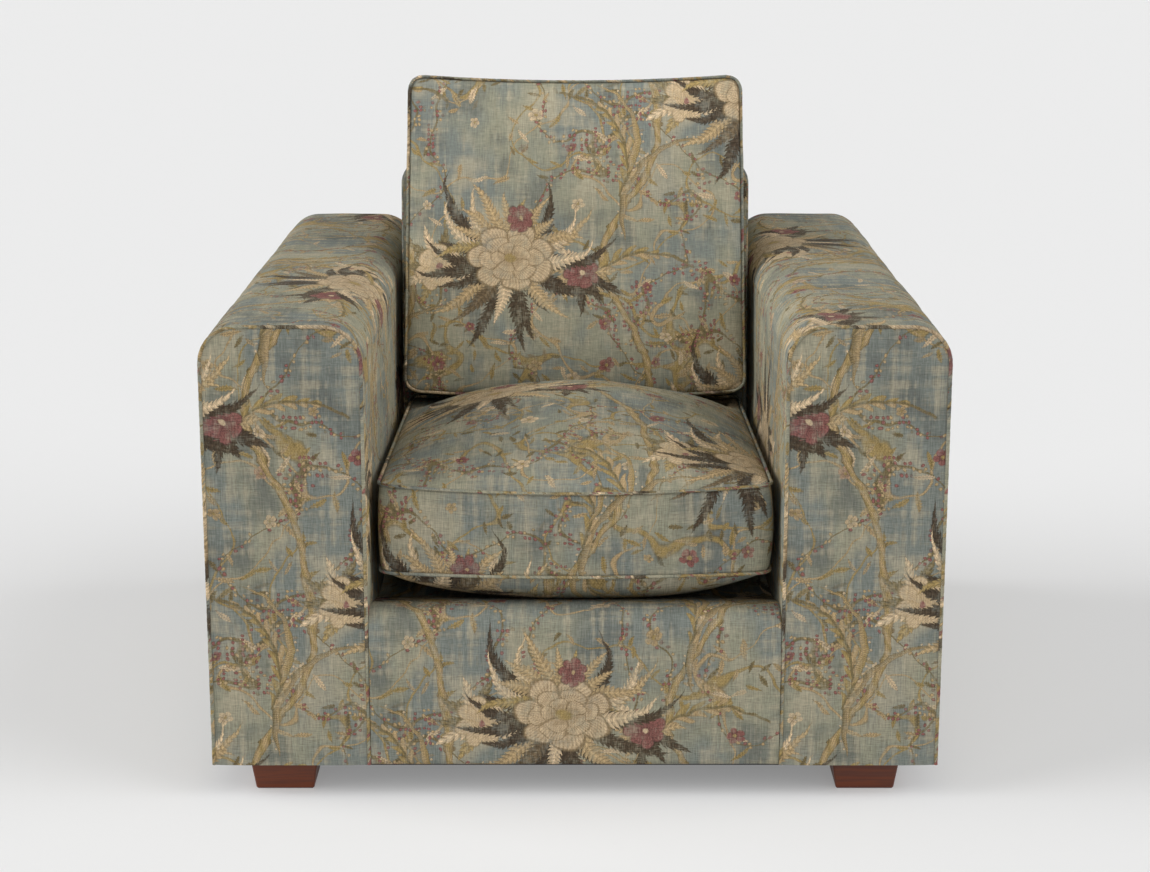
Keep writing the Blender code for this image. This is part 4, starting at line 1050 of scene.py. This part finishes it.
def cushion(name, shape, place, material, print_faces, seed, pipes, nodes):
    """The cover of a boxed cushion in one piece, and the piping in its two seams."""
    run = eased_cells(CUSHION_CELLS)
    a, b = np.meshgrid(run, run, indexing="xy")
    loop = shape.seam_loop()
    la, lb = loop[:, 0], loop[:, 1]
    seam_x, seam_y = shape.bow(*shape.rounded(la, lb), la, lb)
    seam = np.stack([seam_x, seam_y], axis=1)
    walked = walk(seam)
    length = walked[-1]
    ahead = directions(seam, True)
    out_x, out_y = ahead[:, 1], -ahead[:, 0]
    cover = Cover()
    for face, sign in ((0, 1), (1, -1)):
        x, y = shape.bow(*shape.rounded(a, b), a, b)
        from_sides, from_ends = (1 - np.abs(a)) * shape.half_width, (1 - np.abs(b)) * shape.half_length
        from_edge = np.minimum(from_sides, from_ends)
        height = shape.face_height(a, b, face)
        gathers = seam_gathers(np.where(from_sides < from_ends, y, x), length / 4, seed + face)
        puckers = np.exp(-from_edge / PUCKER_REACH) * (1 - np.exp(-from_edge / STITCH_REACH))
        height = height + PUCKER_HEIGHT * gathers * puckers
        uneven = smooth_waves(x, y, seed + 7 + face, FACE_WAVE_LENGTH)
        height = height + FACE_WAVE_HEIGHT * uneven * (1 - np.exp(-from_edge / FACE_WAVE_EDGE))
        points = place(x, y, sign * height)
        offset = np.array(print_faces[face])
        # Painted light: the first face (the seat cushion's top, the back cushion's front) is painted lighter;
        # the other face and the boxing are not.
        cover.grid(points, np.stack([x * sign, y], axis=-1) + offset, PAINTED_LIGHT_SHARE[name] if face == 0 else 0.0)
    rows, places = [], []
    upper, lower = shape.seam_height(la, lb, 0), -shape.seam_height(la, lb, 1)
    for t in np.linspace(0, 1, BOXING_CELLS + 1):
        waist = math.sin(math.pi * t)
        gathers = seam_gathers(walked, length, seed + 3) * beside_seam(t)
        gathers = gathers + seam_gathers(walked, length, seed + 4) * beside_seam(1 - t)
        uneven = 0.0012 * waist * smooth_waves(walked, t * 0.1, seed + 5, 0.25)
        out = shape.bulge * waist + 0.0009 * gathers + uneven
        out[-1] = out[0]
        z = upper + (lower - upper) * t
        rows.append(place(seam_x + out_x * out, seam_y + out_y * out, z))
        places.append(np.stack([walked - length / 2, np.full(len(walked), -t * shape.boxing)], axis=1))
    cover.grid(np.array(rows), np.array(places) + np.array(print_faces[2]))
    body = cover.make(f"{name}_cloth", material, *nodes, subdivide=1)
    seams = ((rows[0], upper, 1, pipes[0]), (rows[-1], lower, -1, pipes[1]))
    for ring, seam_z, way, node in seams:
        above = place(seam_x, seam_y, seam_z + way * 0.01)
        through = unit(above - ring)
        side = unit(np.cross(directions(ring, True), through) * way)
        path = ring + PIPE_SUNK * (math.cos(PIPE_SLANT) * side + math.sin(PIPE_SLANT) * through)
        fine, _ = resample(path, 0.0035)
        tube(f"{node}_cloth", node, fine[:-1], PIPE_RADIUS, material, True, through.mean(axis=0))


def seat_shape(start, end):
    def bow(x, y, a, b):
        near = np.maximum(-b, 0.0)
        y = y - SEAT_FRONT_BOW * (1 - a * a) * near**3
        x = x * (1 - SEAT_TAPER * (b + 1) / 2) + SEAT_SIDE_BOW * a * (1 - b * b)
        return x, y

    crowns = (SEAT_CROWN, SEAT_TOP_FALL, SEAT_TOP_FULLNESS), (SEAT_BELLY, FACE_FALL, FACE_FULLNESS)
    dips = SEAT_SEAM_DIP, SEAT_BOTTOM_DIP
    length = (end - start) / 2
    return CushionShape(
        SEAT_HALF_WIDTH, length, SEAT_BOXING, crowns, dips, SEAT_CORNER, SEAT_BULGE, bow, seat_press
    )


def seat_press(b):
    """The share of its crown that the seat cushion keeps: little under the back cushion."""
    share = np.clip((b - SEAT_PRESS_START) / (SEAT_PRESS_END - SEAT_PRESS_START), 0.0, 1.0)
    return 1.0 - SEAT_PRESS * share**2 * (3 - 2 * share)


def seat_drop(b):
    return SEAT_REAR_DROP * ((b + 1) / 2) ** 2


def cushions(material):
    """Both loose cushions: the seat's lies on the deck, and the back's stands on it."""
    border_low, border_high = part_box("front_border_cover")
    back_low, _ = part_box("back_cover")
    front = border_low.y - PANEL_RECESS
    start = front + SEAT_SETBACK
    end = back_low.y - SEAT_REAR_CLEARANCE
    seat = seat_shape(start, end)
    level = DECK_HEIGHT + SEAT_LIFT + SEAT_BOXING / 2
    middle = (start + end) / 2

    def seat_place(x, y, z):
        share = np.clip(0.5 + z / SEAT_BOXING, 0.0, 1.0)
        drop = share * seat_drop(np.clip(y / seat.half_length, -1.0, 1.0))
        floor = deck_height(y + middle, front, border_high.z, DECK_HEIGHT) + 0.002
        return np.stack([x, y + middle, np.maximum(z + level - drop, floor)], axis=-1)

    seat_nodes = ("seat_cushion_cover", "seat_cushion_filling", "seat_cushion_zip")
    seat_pipes = ("seat_cushion_top_piping", "seat_cushion_bottom_piping")
    prints = [PLACE_ON_PRINT[key] for key in ("seat_top", "seat_bottom", "seat_boxing")]
    cushion("seat_cushion", seat, seat_place, material, prints, 100, seat_pipes, seat_nodes)

    def seat_top(x, y):
        b = np.clip((y - middle) / seat.half_length, -1.0, 1.0)
        half = seat.half_width * (1 - SEAT_TAPER * (b + 1) / 2) + SEAT_SIDE_BOW * (1 - b * b)
        a = np.clip(x / half, -1.0, 1.0)
        at_rim = np.maximum(np.abs(a), np.abs(b)) > 0.96
        pipe = (PIPE_AWAY * math.sin(PIPE_SLANT) + PIPE_RADIUS) * at_rim
        return level + seat.face_height(a, b, 0) - seat_drop(b) + pipe

    lean = BACK_CUSHION_RECLINE
    half_length = BACK_CUSHION_HEIGHT / 2
    thickness = BACK_CUSHION_BOXING / 2 + BACK_CUSHION_CROWN
    upward = np.array((0, math.sin(lean), math.cos(lean)))
    forward = np.array((0, -math.cos(lean), math.sin(lean)))

    def inside_back(z):
        return back_low.y + np.maximum(z - DECK_HEIGHT, 0.0) * math.tan(BACK_SLOPE)

    foot_y = inside_back(BACK_CUSHION_BOTTOM) - BACK_CUSHION_REST_CLEARANCE - thickness / math.cos(lean)
    foot = np.array((0, foot_y, BACK_CUSHION_BOTTOM))
    rest = PIPE_RADIUS + PIPE_AWAY + GAP

    def back_bow(x, y, a, b):
        sag = BACK_CUSHION_TOP_SAG * (1 - a * a) * np.maximum(b, 0.0) ** 3
        return x * (1 - BACK_CUSHION_TAPER * (b + 1) / 2), y - sag

    crowns = ((BACK_CUSHION_CROWN, FACE_FALL, FACE_FULLNESS),) * 2
    dips = (BACK_CUSHION_DIP,) * 2
    shape = CushionShape(
        BACK_CUSHION_HALF_WIDTH,
        half_length,
        BACK_CUSHION_BOXING,
        crowns,
        dips,
        BACK_CUSHION_CORNER,
        BACK_CUSHION_BULGE,
        back_bow,
    )

    def back_place(x, y, z):
        push = np.zeros_like(x)
        for share in (-1, -0.5, 0, 0.5, 1):
            spot = foot + forward * share * BACK_CUSHION_BOXING / 2
            push = np.maximum(push, seat_top(x, spot[1]) + rest - spot[2])
        height = y + half_length
        lifted = push * np.maximum(1 - height / BACK_CUSHION_SETTLE, 0.0) ** 2
        py = foot[1] + upward[1] * height + forward[1] * z
        pz = foot[2] + upward[2] * height + forward[2] * z + lifted
        wall = inside_back(pz) - BACK_CUSHION_REST_CLEARANCE
        return np.stack([x + 0 * py, np.minimum(py, wall), pz], axis=-1)

    back_nodes = ("back_cushion_cover", "back_cushion_filling", "back_cushion_zip")
    back_pipes = ("back_cushion_front_piping", "back_cushion_rear_piping")
    prints = [PLACE_ON_PRINT[key] for key in ("back_front", "back_rear", "back_boxing")]
    cushion("back_cushion", shape, back_place, material, prints, 200, back_pipes, back_nodes)


def seen_directly(g):
    """1 for the rays that show a surface: the camera's own, and those by way of gloss or glass."""
    rays = g.node("LightPath")
    camera, gloss, glass = (g.wire(rays, f"Is {kind} Ray") for kind in ("Camera", "Glossy", "Transmission"))
    return g.most(camera, g.most(gloss, glass))


def studio():
    """The pale floor, the soft light and the photograph's camera."""
    mesh = bpy.data.meshes.new("studio_floor")
    s = FLOOR_SIZE / 2
    mesh.from_pydata([(-s, -s, 0), (s, -s, 0), (s, s, 0), (-s, s, 0)], [], [(0, 1, 2, 3)])
    floor = bpy.data.objects.new("studio_floor", mesh)
    bpy.context.scene.collection.objects.link(floor)
    g = Graph("pale_floor")
    lit = g.wire(g.node("BsdfDiffuse", None, {"Color": FLOOR_COLOUR}))
    shown = g.wire(g.node("Emission", None, {"Color": WHITE, "Strength": FLOOR_SHOWN}))
    shown_share = seen_directly(g) * FLOOR_SHOWN_SHARE
    surface = g.wire(g.node("MixShader", None, {0: shown_share, 1: lit, 2: shown}))
    g.node("OutputMaterial", None, {"Surface": surface})
    mesh.materials.append(g.owner)

    g = Graph("studio_light", "worlds")
    light = g.wire(g.node("Background", None, {"Color": WHITE, "Strength": SKY_STRENGTH}))
    backdrop = g.wire(g.node("Background", None, {"Color": PALE}))
    surface = g.wire(g.node("MixShader", None, {0: seen_directly(g), 1: light, 2: backdrop}))
    g.node("OutputWorld", None, {"Surface": surface})
    bpy.context.scene.world = g.owner

    for name, (strength, angle, direction) in SUNS.items():
        lamp = bpy.data.lights.new(name, "SUN")
        lamp.energy = strength
        lamp.angle = angle
        sun = bpy.data.objects.new(name, lamp)
        sun.rotation_euler = Vector(direction).to_track_quat("-Z", "Y").to_euler()
        bpy.context.scene.collection.objects.link(sun)

    lens = bpy.data.cameras.new("photo_camera")
    lens.sensor_width = SENSOR
    lens.lens = CAMERA_FOCUS / PHOTO_WIDTH * SENSOR
    lens.clip_end = 200.0
    camera = bpy.data.objects.new("photo_camera", lens)
    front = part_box("left_arm_front_piping")[0].y
    camera.location = (0.0, front - CAMERA_DISTANCE, CAMERA_HEIGHT)
    camera.rotation_euler = (math.pi / 2 - CAMERA_PITCH, 0.0, 0.0)
    bpy.context.scene.collection.objects.link(camera)
    bpy.context.scene.camera = camera
    bpy.context.scene.view_settings.view_transform = "Standard"
    # The cloth sends back a fifth of its light, so what a third bounce adds can't be seen.
    bpy.context.scene.cycles.diffuse_bounces = 2


def finish_model_nodes(linen):
    """The nodes whose shape stays as it is get their finishes by their slots."""
    finishes = {
        "print_cloth": linen,
        "foot_wood": wood("foot_wood", linear("4c1d05"), linear("6a2e08"), 0.5, 0.03),
        "beech": wood("beech", linear("a57e52"), linear("cfa878"), 0.6, 0.0),
        "plywood": wood("plywood", linear("a98458"), linear("c8a57a"), 0.65, 0.0),
        "dust_cloth": plain_weave("dust_cloth", linear("17171a"), linear("2b2b2f"), 1400.0),
        "wadding": plain_weave("wadding", linear("d8d2c2"), linear("eeeade"), 260.0),
        "webbing": plain_weave("webbing", linear("2d2620"), linear("55493c"), 1100.0),
        "zip_tape": plain_weave("zip_tape", linear("3a4444"), linear("596463"), 1600.0),
        "bolt_steel": steel(),
    }
    for part in frame["record"]["subparts"]:
        node = frame["nodes"][part["node"]]
        node.data.materials.clear()
        node.data.materials.append(finishes[part["material_slot"]])


studio()
DECK_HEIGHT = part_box("deck_cloth")[1].z
linen = printed_linen()
finish_model_nodes(linen)
for label, sign in (("left", -1), ("right", 1)):
    arm(label, sign, linen)
front_border(linen)
fixed_back(linen)
outside_back(linen)
cushions(linen)
